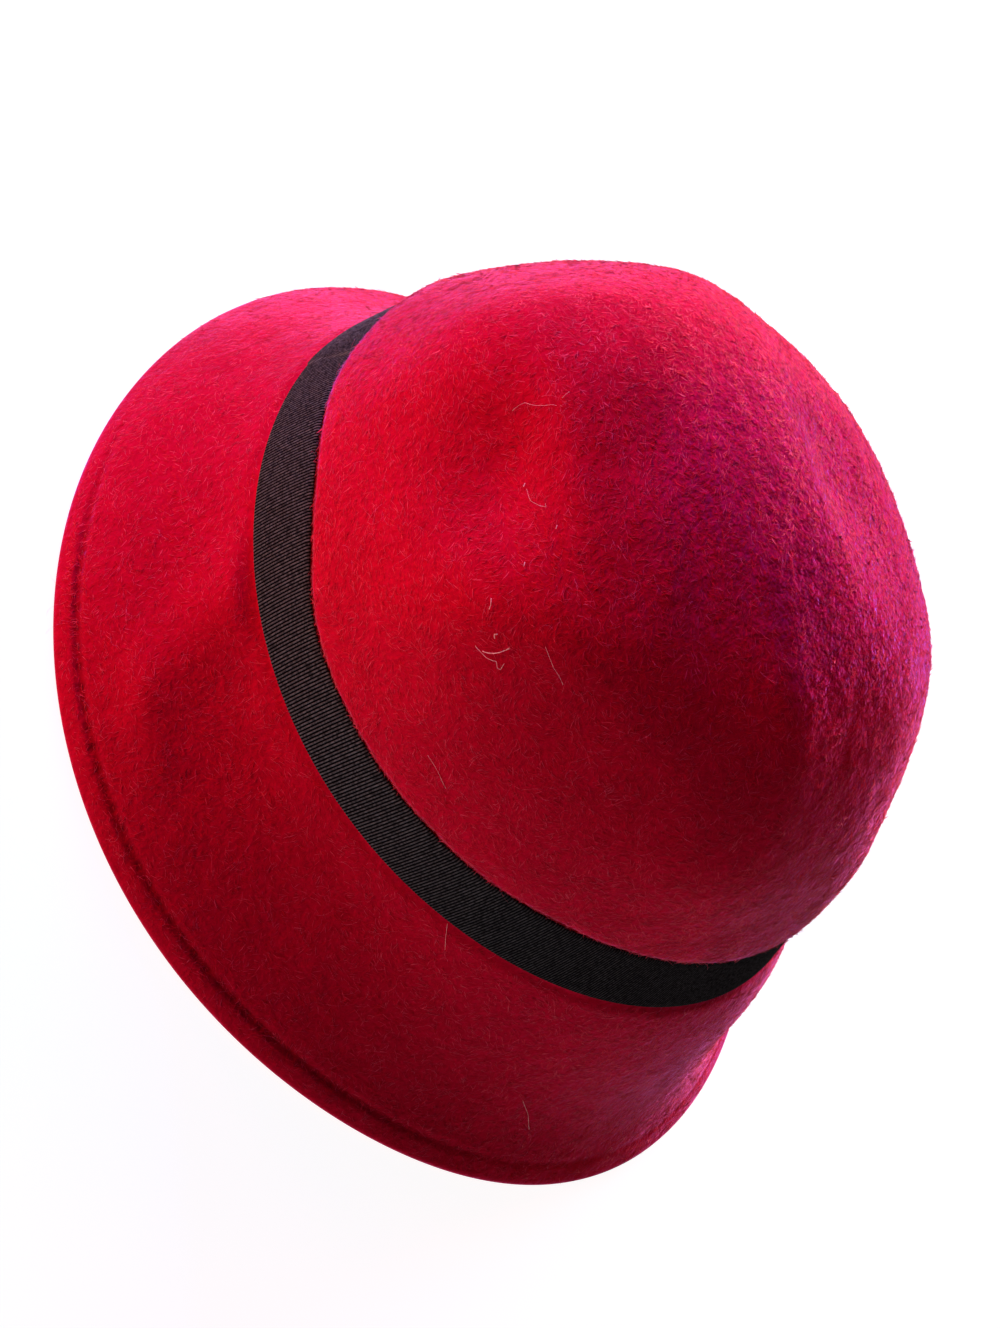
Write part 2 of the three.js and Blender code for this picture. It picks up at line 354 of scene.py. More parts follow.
@dataclass(frozen=True)
class HatForm:
    """The moulded form of the hat, as its source has it, with the crown's sag over the ribbon added.

    Lengths are in millimetres. Azimuth runs from the front toward the wearer's left, and climb from the
    ribbon's lower edge to the tip.
    """

    half_length: float = 102.0
    half_width: float = 84.0
    narrowing: float = 0.04
    top: float = 155.6
    tip_back: float = 7.4
    wall_fullness: float = 0.65
    top_fullness: float = 0.7
    brim_hold: float = 0.38
    felt: float = 2.2
    hem_depth: float = 5.8
    fold_radius: float = 1.9
    flattened: float = 0.28
    groove_depth: float = 0.5
    groove_half_width: float = 1.0
    hem_puff: float = 0.3
    ribbon_width: float = 24.0
    ribbon_gap: float = 0.3
    ribbon_thickness: float = 0.8
    drawn_in_low: float = 0.8
    drawn_in_high: float = 1.4
    ease: float = 4.0
    swell: float = 1.3
    steps: int = 160
    dent_columns: int = 720
    sags: tuple[tuple[float, float, float], ...] = (
        (200.0, 11.0, 2.2), (240.0, 11.0, 2.9), (258.0, 14.0, 1.9), (279.0, 9.0, 1.0))
    sag_span: tuple[tuple[float, float], ...] = ((0.25, 0.75), (2.4, 1.4))
    sections: tuple[Section, ...] = (
        Section(66.5, 23.8, 45.0, 46.0, 53.7),
        Section(62.4, 11.8, 37.2, 27.0, 50.2),
        Section(51.7, -6.1, 34.1, 14.0, 35.4),
        Section(48.1, -4.4, 27.1, 13.0, 21.7),
        Section(49.3, 1.4, 18.8, 13.0, 15.8),
    )
    dents: tuple[Dent, ...] = (
        Dent(222.5, 0.46, 22.5, 13.9, -19.0, 3.8),
        Dent(219.5, 0.58, 26.2, 7.1, 16.0, -1.3),
        Dent(243.5, 0.37, 15.7, 22.0, 0.0, -2.4),
        Dent(255.5, 0.52, 24.1, 12.8, 26.0, -2.4),
        Dent(304.5, 0.4, 29.9, 17.9, -33.0, -2.4),
        Dent(260.0, 0.76, 30.0, 13.2, -18.0, 1.6),
        Dent(206.0, 0.72, 28.3, 13.5, -26.0, 1.4),
        Dent(201.0, 0.45, 30.0, 17.5, 90.0, -2.4),
        Dent(184.0, 0.47, 30.0, 16.3, -45.0, -2.4),
        Dent(141.0, 0.49, 16.3, 22.0, -31.0, -1.9),
        Dent(82.5, 0.82, 29.6, 13.5, -9.0, 3.2),
        Dent(108.0, 0.87, 19.4, 8.3, -41.0, 2.0),
        Dent(42.0, 0.6, 18.0, 18.0, 0.0, -1.0),
        Dent(4.0, 0.5, 16.0, 16.0, 0.0, 0.85),
        Dent(0.0, 0.26, 18.0, 13.0, 0.0, -1.9),
        Dent(306.0, 0.68, 26.0, 10.5, -60.0, -2.2),
        Dent(342.0, 0.65, 30.0, 18.0, 90.0, 1.55),
        Dent(288.0, 0.45, 30.0, 18.0, 0.0, 1.9),
        Dent(258.0, 0.3, 30.0, 18.0, -60.0, -1.4),
        Dent(222.0, 0.3, 30.0, 18.0, 90.0, 1.5),
        Dent(222.0, 0.5, 26.0, 8.0, 0.0, 0.8),
        Dent(186.0, 0.65, 30.0, 18.0, 0.0, -1.6),
        Dent(192.0, 0.35, 30.0, 18.0, 60.0, -1.5),
        Dent(78.0, 0.75, 30.0, 18.0, 0.0, 1.3),
    )

    def measure(self, name: str, azimuth: np.ndarray) -> np.ndarray:
        """Reads one measure of the sections all the way round.

        Args:
            name: a field of Section.
            azimuth: directions in radians.

        Returns:
            The cosine series through the sections.
        """
        values = np.array([getattr(section, name) for section in self.sections])
        spans = len(values) - 1
        ends = np.ones(spans + 1)
        ends[[0, -1]] = 0.5
        total = np.zeros_like(azimuth)
        for k in range(spans + 1):
            waves = np.cos(math.pi * k * np.arange(spans + 1) / spans)
            total = total + 2.0 / spans * ends[k] * np.sum(ends * values * waves) * np.cos(k * azimuth)
        return total

    def oval(self, azimuth: np.ndarray) -> np.ndarray:
        """Points of the ribbon's lower edge.

        Args:
            azimuth: directions in radians.

        Returns:
            One point for each direction.
        """
        x = self.half_width * (1.0 - self.narrowing * np.cos(azimuth)) * np.sin(azimuth)
        y = -self.half_length * np.cos(azimuth) + self.shift_back()
        return np.stack([x, y, self.measure("band_edge", azimuth)], axis=-1)

    def shift_back(self) -> float:
        """How far the oval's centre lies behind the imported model's origin."""
        flare = math.radians(self.sections[0].edge_flare)
        front = self.half_length + self.sections[0].brim_reach + self.fold_radius * (1.0 - math.cos(flare))
        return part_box("hat_body")[0].y / MM + front

    def level_outward(self, azimuth: np.ndarray) -> np.ndarray:
        """Level directions straight out of the oval."""
        along = self.oval(azimuth + 0.01) - self.oval(azimuth - 0.01)
        along[:, 2] = 0.0
        return unit(np.cross(along, UP))

    def brim_skin(self, azimuth: np.ndarray) -> Skin:
        """Outer felt of the brim, from the hem's fold up to the ribbon's lower edge.

        Args:
            azimuth: directions in radians, all the way round.

        Returns:
            The skin before the hem's puff and groove.
        """
        t = np.linspace(0.0, 1.0, self.steps)[:, None]
        top = self.oval(azimuth)
        reach = self.measure("brim_reach", azimuth)
        end = np.radians(self.measure("edge_flare", azimuth))
        start = np.radians(self.measure("start_flare", azimuth))
        low = self.fold_radius * (1.0 + np.sin(end)) - self.flattened
        pull = self.brim_hold * np.hypot(reach, top[:, 2] - low)
        out = bezier(reach, reach - pull * np.sin(end), pull * np.sin(start), 0.0 * reach, t)
        z = bezier(low, low + pull * np.cos(end), top[:, 2] - pull * np.cos(start), top[:, 2], t)
        points = top[None] + self.level_outward(azimuth)[None] * out[..., None]
        points[..., 2] = z
        return Skin.through(points, np.zeros_like(azimuth))

    def crown_skin(self, azimuth: np.ndarray) -> Skin:
        """Outer felt of the crown, from the ribbon's lower edge up to the tip.

        Args:
            azimuth: directions in radians, all the way round.

        Returns:
            The skin before dents and draws.
        """
        t = np.linspace(0.0, 1.0, self.steps)[:, None]
        foot = self.oval(azimuth)
        height = self.top - foot[:, 2]
        back = self.shift_back()
        lean = np.tan(np.radians(self.measure("crown_lean", azimuth)))
        wall = 1.0 - self.wall_fullness * height * lean / np.hypot(foot[:, 0], foot[:, 1] - back)
        shrink = bezier(np.ones_like(wall), wall, self.top_fullness + 0.0 * wall, 0.0 * wall, t)
        rise = bezier(0.0, self.wall_fullness, 1.0, 1.0, t)
        x = foot[:, 0] * shrink
        y = (foot[:, 1] - back) * shrink + self.tip_back * rise + back
        bearing = np.degrees(azimuth)
        sag = sum(depth * np.exp(-(((bearing - at) / half) ** 2)) for at, half, depth in self.sags)
        return Skin.through(np.stack([x, y, foot[:, 2] + height * rise], axis=-1), sag)

    def dent_depth(self, points: np.ndarray) -> np.ndarray:
        """How far the dents press the crown in.

        Args:
            points: places on the crown's skin.

        Returns:
            One depth for each place.
        """
        depth = np.zeros(points.shape[:-1])
        fine = np.arange(self.dent_columns) * math.tau / self.dent_columns
        skin = self.crown_skin(fine)
        for dent in self.dents:
            column = int(round(dent.azimuth * self.dent_columns / 360.0)) % self.dent_columns
            step = dent.climb * (self.steps - 1)
            low = int(step)
            share = step - low
            centre = (1.0 - share) * skin.points[low, column] + share * skin.points[low + 1, column]
            normal = unit((1.0 - share) * skin.normals[low, column] + share * skin.normals[low + 1, column])
            level = unit(np.cross(UP, normal))
            turn = math.radians(dent.turn)
            long = level * math.cos(turn) + np.cross(normal, level) * math.sin(turn)
            away = points - centre
            u = away @ long / dent.along
            v = away @ np.cross(normal, long) / dent.across
            w = away @ normal / dent.along
            depth += dent.depth * np.exp(-(u * u + v * v + w * w))
        return depth

    def ribbon_depth(self, above: np.ndarray) -> np.ndarray:
        """How far the ribbon draws the felt in, which swells again above it.

        Args:
            above: distances above the ribbon's lower edge.

        Returns:
            One depth for each distance.
        """
        held = self.drawn_in_low + (self.drawn_in_high - self.drawn_in_low) * above / self.ribbon_width
        lower = smooth_step(-self.ease, 0.0, above)
        upper = 1.0 - smooth_step(self.ribbon_width, self.ribbon_width + self.ease, above)
        past = (above - self.ribbon_width - self.ease) / (3.0 * self.ease)
        return held * lower * upper - self.swell * (1.0 - upper) * np.exp(-past * past)

    def hem_depth_at(self, from_fold: np.ndarray) -> np.ndarray:
        """How far the stitches draw the hem in, which puffs out below them.

        Args:
            from_fold: distances from the hem's fold.

        Returns:
            One depth for each distance.
        """
        groove = (from_fold - self.hem_depth) / self.groove_half_width
        puff = np.sin(math.pi * np.clip(from_fold / self.hem_depth, 0.0, 1.0))
        return self.groove_depth * np.exp(-groove * groove) - self.hem_puff * puff

    def brim_felt(self, skin: Skin, from_fold: np.ndarray) -> tuple[np.ndarray, np.ndarray]:
        """Outer felt of the brim with its hem.

        Args:
            skin: the brim's skin.
            from_fold: rows x azimuths, distances from the hem's fold.

        Returns:
            Points and outward directions.
        """
        points, normals = skin.at(from_fold)
        depth = self.hem_depth_at(from_fold) + self.ribbon_depth(from_fold - skin.total)
        return points - normals * depth[..., None], normals

    def crown_felt(self, skin: Skin, above: np.ndarray) -> tuple[np.ndarray, np.ndarray]:
        """Outer felt of the crown with its dents.

        Args:
            skin: the crown's skin.
            above: rows x azimuths, distances above the ribbon's lower edge.

        Returns:
            Points and outward directions.
        """
        width = self.ribbon_width
        low, high = (smooth_step(start * width, end * width, above) for start, end in self.sag_span)
        points, normals = skin.at(above - skin.sag * low * high)
        depth = self.dent_depth(points) + self.ribbon_depth(above)
        return points - normals * depth[..., None], normals


# Finishes


class NodeBench:
    """Lays out the nodes of one material."""

    def __init__(self, name: str) -> None:
        """Starts a material with a plain shader.

        Args:
            name: the material's name.
        """
        self.material = bpy.data.materials.new(name)
        self.material.use_nodes = True
        self.tree = self.material.node_tree
        self.shader = self.tree.nodes["Principled BSDF"]
        self.places = self.add("ShaderNodeTexCoord")

    def add(self, kind: str, **settings: object) -> bpy.types.Node:
        """Adds a node.

        Args:
            kind: Blender's name of the node's type.
            settings: properties to set on it.

        Returns:
            The node.
        """
        node = self.tree.nodes.new(kind)
        for name, value in settings.items():
            setattr(node, name, value)
        return node

    def feed(self, socket: bpy.types.NodeSocket, value: object) -> None:
        """Links a socket to an output, or sets it to a number or colour."""
        if isinstance(value, bpy.types.NodeSocket):
            self.tree.links.new(value, socket)
        else:
            socket.default_value = value

    def sums(self, operation: str, first: object, second: object = 0.0,
             third: object = 0.0) -> bpy.types.NodeSocket:
        """Adds a sum of one to three values.

        Args:
            operation: Blender's name of the sum.
            first: output or number.
            second: output or number.
            third: output or number.

        Returns:
            The result's output.
        """
        node = self.add("ShaderNodeMath", operation=operation)
        for socket, value in zip(node.inputs, (first, second, third)):
            self.feed(socket, value)
        return node.outputs[0]

    def noise(self, size: float, detail: float = 2.0, stretch: tuple[float, float, float] = (1.0, 1.0, 1.0),
              vector: Optional[bpy.types.NodeSocket] = None) -> bpy.types.NodeSocket:
        """Adds a noise.

        Args:
            size: the size of its spots in metres.
            detail: how many finer layers it has.
            stretch: scale along each axis.
            vector: coordinates, or the piece's own where none is given.

        Returns:
            The noise's value.
        """
        turned = self.add("ShaderNodeMapping")
        turned.inputs["Scale"].default_value = stretch
        self.feed(turned.inputs["Vector"], self.places.outputs["Object"] if vector is None else vector)
        node = self.add("ShaderNodeTexNoise")
        node.inputs["Scale"].default_value = 1.0 / size
        node.inputs["Detail"].default_value = detail
        node.inputs["Roughness"].default_value = 0.6
        self.feed(node.inputs["Vector"], turned.outputs["Vector"])
        return node.outputs["Fac"]

    def between(self, value: bpy.types.NodeSocket, low: tuple[float, object],
                high: tuple[float, object]) -> bpy.types.NodeSocket:
        """Adds a colour ramp of two stops.

        Args:
            value: what drives it.
            low: place and colour of its first stop.
            high: place and colour of its second stop.

        Returns:
            The ramp's colour.
        """
        node = self.add("ShaderNodeValToRGB")
        for stop, (place, colour) in zip(node.color_ramp.elements, (low, high)):
            stop.position = place
            stop.color = (*colour, 1.0)
        self.feed(node.inputs["Fac"], value)
        return node.outputs["Color"]

    def eased(self, value: object, places: tuple[float, float],
              ends: tuple[float, float] = (0.0, 1.0)) -> bpy.types.NodeSocket:
        """Eases a value from one level to another.

        Args:
            value: what is read.
            places: where the change begins and where it is done.
            ends: the levels before and after.

        Returns:
            The eased value.
        """
        node = self.add("ShaderNodeMapRange", interpolation_type="SMOOTHSTEP")
        for socket, entry in zip(node.inputs, (value, *places, *ends)):
            self.feed(socket, entry)
        return node.outputs[0]

    def mix(self, share: object, first: object, second: object, blend: str = "MIX") -> bpy.types.NodeSocket:
        """Adds a mix of two colours.

        Args:
            share: how much of the second.
            first: output or colour.
            second: output or colour.
            blend: how they mix.

        Returns:
            The mixed colour.
        """
        node = self.add("ShaderNodeMix", data_type="RGBA", blend_type=blend)
        for socket, value in zip((node.inputs[0], node.inputs[6], node.inputs[7]), (share, first, second)):
            self.feed(socket, value if isinstance(value, (bpy.types.NodeSocket, float)) else (*value, 1.0))
        return node.outputs[2]

    def bump(self, height: bpy.types.NodeSocket, depth: float,
             under: Optional[bpy.types.NodeSocket] = None) -> bpy.types.NodeSocket:
        """Adds a bump.

        Args:
            height: what drives it.
            depth: its full height in metres.
            under: the bump that it lies on.

        Returns:
            The bumped normal.
        """
        node = self.add("ShaderNodeBump")
        node.inputs["Strength"].default_value = 1.0
        node.inputs["Distance"].default_value = depth
        self.feed(node.inputs["Height"], height)
        if under is not None:
            self.feed(node.inputs["Normal"], under)
        return node.outputs["Normal"]

    def axes(self, coordinates: str) -> bpy.types.NodeOutputs:
        """Splits the piece's coordinates.

        Args:
            coordinates: which ones, by the name of their output.

        Returns:
            The outputs, by axis.
        """
        split = self.add("ShaderNodeSeparateXYZ")
        self.feed(split.inputs[0], self.places.outputs[coordinates])
        return split.outputs

    def off(self, value: object, centre: float) -> bpy.types.NodeSocket:
        """Adds the distance of a value from a centre."""
        return self.sums("ABSOLUTE", self.sums("SUBTRACT", value, centre))

    def finish(self, **sockets: object) -> bpy.types.Material:
        """Sets the shader's sockets.

        Args:
            sockets: outputs or values, named as the sockets with _ for a space.

        Returns:
            The finished material.
        """
        for name, value in sockets.items():
            self.feed(self.shader.inputs[name.replace("_", " ")], value)
        return self.material


@dataclass(frozen=True)
class FeltFinish:
    """Brushed wool felt: matted fibres, a soft bloom, and painted shade in the hem's pits and crease, painted
    sky on top.
    """

    deep: tuple[float, float, float] = (0.55, 0.0014, 0.016)
    bright: tuple[float, float, float] = (0.70, 0.0024, 0.025)
    bloom: tuple[float, float, float] = (1.0, 0.36, 1.0)
    # painted shade: the dark of the hem's groove and needle pits
    painted_pit_shade: tuple[float, float, float] = (0.22, 0.0006, 0.004)
    # painted shade: the near-black laid into the crease over the ribbon
    crease: tuple[float, float, float] = (0.035, 0.0006, 0.002)
    # painted light: a violet tint of the cool sky light, multiplied in where the felt faces it
    painted_sky_tint: tuple[float, float, float] = (1.0, 3.0, 2.8)
    painted_sky_toward: tuple[float, float, float] = (0.211, 0.366, 0.906)
    painted_sky_from: tuple[float, float] = (0.6, 1.0)
    hem_at_front: float = 0.25
    hem_at_back: float = 0.1
    clump_stops: tuple[float, float] = (0.3, 0.68)
    clump_size: float = 0.0016
    clump_depth: float = 0.00028
    streak_size: float = 0.0011
    streak_depth: float = 0.00018
    streak_stretch: tuple[float, float, float] = (1.0, 1.0, 0.35)
    patch_stops: tuple[float, float] = (0.25, 0.75)
    patch_size: float = 0.018
    patch_shade: float = 0.88
    tuft_size: float = 0.0036
    tuft_depth: float = 0.0016
    tufts_below: float = 0.2
    pit_depth: float = 0.0006
    pit_edge: tuple[float, float] = (0.16, 0.5)
    pit_shown: tuple[float, float] = (0.26, 0.42)

    def material(self, stitches: int, groove: float, groove_half: float, crease: tuple[float, float],
                 rise: tuple[float, float], fade: tuple[float, float],
                 tufts: tuple[float, float]) -> bpy.types.Material:
        """Builds the felt.

        Args:
            stitches: how many stitches go round the hem.
            groove: place of the groove on the map's second axis.
            groove_half: half its width there.
            crease: where the painted shade of the crease over the ribbon ends and has gone, on the same axis.
            rise: where the line of the hem starts to show and has come up, in turns from the back.
            fade: where it starts to fade toward the front and has faded.
            tufts: where the felt starts to roughen toward the tip and has roughened, on the second axis.

        Returns:
            The material.
        """
        bench = NodeBench("brushed_felt")
        clumps = bench.noise(self.clump_size, 4.0)
        streaks = bench.noise(self.streak_size, 3.0, self.streak_stretch)
        patches = bench.noise(self.patch_size, 2.0)
        wool = bench.between(clumps, *zip(self.clump_stops, (self.deep, self.bright)))
        shade = bench.between(patches, *zip(self.patch_stops, ((self.patch_shade,) * 3, (1.0, 1.0, 1.0))))
        wool = bench.mix(1.0, wool, shade, "MULTIPLY")
        place = bench.axes("UV")
        # painted shade: the hem's groove and needle pits are darkened in colour, and the same mask bumps them
        sunk = self.hem_line(bench, place, stitches, groove, groove_half)
        to_front = bench.off(place["X"], 0.5)
        sunk = bench.sums("MULTIPLY", sunk, bench.eased(to_front, fade, (1.0, self.hem_at_front)))
        sunk = bench.sums("MULTIPLY", sunk, bench.eased(to_front, rise, (self.hem_at_back, 1.0)))
        # painted shade mixed in along the hem's groove, fading toward the front and the back
        wool = bench.mix(sunk, wool, self.painted_pit_shade)
        # painted shade: darkens the felt in the crease just above the ribbon, on the crown's side only
        over = bench.eased(place["Y"], crease, (1.0, 0.0))
        above_brim = bench.sums("GREATER_THAN", place["Y"], 2.0 * crease[0] - crease[1])
        wool = bench.mix(bench.sums("MULTIPLY", over, above_brim), wool, self.crease)
        # painted light: tints the top of the crown where it faces the sky light
        wool = bench.mix(self.painted_sky_share(bench, place, tufts), wool, self.painted_sky_tint, "MULTIPLY")
        upward = bench.eased(place["Y"], tufts, (self.tufts_below, 1.0))
        relief = bench.bump(bench.sums("MULTIPLY", bench.noise(self.tuft_size, 2.0), upward), self.tuft_depth)
        relief = bench.bump(clumps, self.clump_depth, relief)
        relief = bench.bump(streaks, self.streak_depth, relief)
        relief = bench.bump(bench.sums("SUBTRACT", 1.0, sunk), self.pit_depth, relief)
        return bench.finish(Base_Color=wool, Normal=relief, Roughness=0.92, Specular_IOR_Level=0.0,
                            Sheen_Weight=0.85, Sheen_Roughness=0.30, Sheen_Tint=(*self.bloom, 1.0))

    def hem_line(self, bench: NodeBench, place: bpy.types.NodeOutputs, stitches: int, groove: float,
                 groove_half: float) -> bpy.types.NodeSocket:
        """Adds the line of the hem with its needle pits, darkened with painted shade.

        Args:
            bench: the felt's nodes.
            place: the map's axes.
            stitches: how many stitches go round.
            groove: place of the groove on the map's second axis.
            groove_half: half its width there.

        Returns:
            How far the felt is sunk and darkened with painted shade, from 0 to 1.
        """
        along = bench.sums("FRACT", bench.sums("MULTIPLY", place["X"], float(stitches)))
        hole = bench.eased(bench.off(along, 0.5), self.pit_edge)
        line = bench.eased(bench.off(place["Y"], groove), (0.1 * groove_half, groove_half), (1.0, 0.0))
        return bench.sums("MULTIPLY", bench.sums("MULTIPLY_ADD", hole, *self.pit_shown), line)

    def painted_sky_share(self, bench: NodeBench, place: bpy.types.NodeOutputs,
                tufts: tuple[float, float]) -> bpy.types.NodeSocket:
        """Adds the share of felt on top of the crown that faces the sky light and gets a painted tint of it.

        Args:
            bench: the felt's nodes.
            place: the map's axes.
            tufts: where the felt starts to roughen toward the tip and has roughened, on the second axis.

        Returns:
            The share, from 0 to 1.
        """
        facing = bench.add("ShaderNodeVectorMath", operation="DOT_PRODUCT")
        bench.feed(facing.inputs[0], bench.places.outputs["Normal"])
        bench.feed(facing.inputs[1], self.painted_sky_toward)
        turned = bench.eased(facing.outputs["Value"], self.painted_sky_from)
        return bench.sums("MULTIPLY", turned, bench.eased(place["Y"], tufts))


@dataclass(frozen=True)
class NapFinish:
    """Loose wool fibres of the nap, all of one dye."""

    colour: tuple[float, float, float] = (0.78, 0.004, 0.026)
    bloom: tuple[float, float, float] = (1.0, 0.28, 0.42)
    sheen: float = 0.5
    name: str = "wool_fibre"

    def material(self) -> bpy.types.Material:
        """Builds the fibres' finish, which is the same all over."""
        return NodeBench(self.name).finish(
            Base_Color=(*self.colour, 1.0), Roughness=0.6, Specular_IOR_Level=0.12,
            Specular_Tint=(*self.bloom, 1.0), Sheen_Weight=self.sheen, Sheen_Roughness=0.40,
            Sheen_Tint=(*self.bloom, 1.0))


@dataclass(frozen=True)
class RibbonFinish:
    """Black ribbed ribbon, dull, dust-specked, with painted shade at the front and in the grooves, and a
    painted highlight at the lap.
    """

    black: tuple[float, float, float] = (0.032, 0.028, 0.029)
    worn: tuple[float, float, float] = (0.140, 0.124, 0.124)
    # painted shade: near-black for the grooves between ribs and for the ribbon's front
    groove: tuple[float, float, float] = (0.0022, 0.0018, 0.0020)
    # painted highlight: the pale stripe where the lap's cut end catches the light
    painted_lap_highlight: tuple[float, float, float] = (0.12, 0.108, 0.108)
    # painted shade: how far toward the front the ribbon is darkened, and how much
    front_shade_span: tuple[float, float] = (-0.06, 0.05)
    front_shade_share: float = 0.62
    rib_groove_shade_span: tuple[float, float] = (0.12, 0.36)
    thread_size: float = 0.004
    thread_stretch: tuple[float, float, float] = (600.0, 1.6, 1.0)
    thread_depth: float = 0.00004
    speck_size: float = 0.0009
    speck_stops: tuple[float, float] = (0.36, 0.66)
    speck_depth: float = 0.00012

    def material(self, ribs: int) -> bpy.types.Material:
        """Builds the ribbon's finish, with fine threads that run along the ribbon.

        Args:
            ribs: how many ribs go round.

        Returns:
            The material.
        """
        bench = NodeBench("ribbed_ribbon")
        threads = bench.noise(self.thread_size, 3.0, self.thread_stretch, bench.places.outputs["UV"])
        specks = bench.noise(self.speck_size, 3.0)
        dust_and_shade = bench.between(specks, *zip(self.speck_stops, (self.black, self.worn)))
        along = bench.sums("FRACT", bench.sums("MULTIPLY", bench.axes("UV")["X"], float(ribs)))
        # painted shade: the ribbon is darker toward the front, where it lies in shade
        front_shade = bench.eased(bench.axes("Object")["Y"], self.front_shade_span, (self.front_shade_share, 0.0))
        dust_and_shade = bench.mix(front_shade, dust_and_shade, self.groove)
        # painted shade: darkens the grooves between the ribs
        dust_and_shade = bench.mix(bench.eased(bench.off(along, 0.5), self.rib_groove_shade_span), dust_and_shade, self.groove)
        # painted highlight along the lap's cut end
        end = bench.add("ShaderNodeAttribute", attribute_name=LAP)
        dust_and_shade = bench.mix(end.outputs["Fac"], dust_and_shade, self.painted_lap_highlight)
        relief = bench.bump(specks, self.speck_depth)
        relief = bench.bump(threads, self.thread_depth, relief)
        return bench.finish(Base_Color=dust_and_shade, Normal=relief, Roughness=0.8, Specular_IOR_Level=0.0)


@dataclass(frozen=True)
class ThreadFinish:
    """Twisted sewing thread."""

    dark: tuple[float, float, float]
    light: tuple[float, float, float]
    name: str
    twist_size: float = 0.0005
    twist_stops: tuple[float, float] = (0.35, 0.65)
    twist_depth: float = 0.00008

    def material(self) -> bpy.types.Material:
        """Builds the thread's finish, mottled by its twist."""
        bench = NodeBench(self.name)
        twist = bench.noise(self.twist_size, 1.0)
        colour = bench.between(twist, *zip(self.twist_stops, (self.dark, self.light)))
        return bench.finish(Base_Color=colour, Normal=bench.bump(twist, self.twist_depth), Roughness=0.75,
                            Specular_IOR_Level=0.25)


@dataclass(frozen=True)
class FloorFinish:
    """Pale seamless paper, lit from below."""

    colour: tuple[float, float, float] = (0.26, 0.26, 0.26)
    glow: float = 0.94

    def material(self) -> bpy.types.Material:
        """Builds the paper."""
        bench = NodeBench("pale_paper")
        grain = bench.noise(0.003, 2.0)
        return bench.finish(Base_Color=(*self.colour, 1.0), Normal=bench.bump(grain, 0.00002), Roughness=0.85,
                            Specular_IOR_Level=0.1, Emission_Color=(1.0, 1.0, 1.0, 1.0),
                            Emission_Strength=self.glow)


# Sub-assemblies


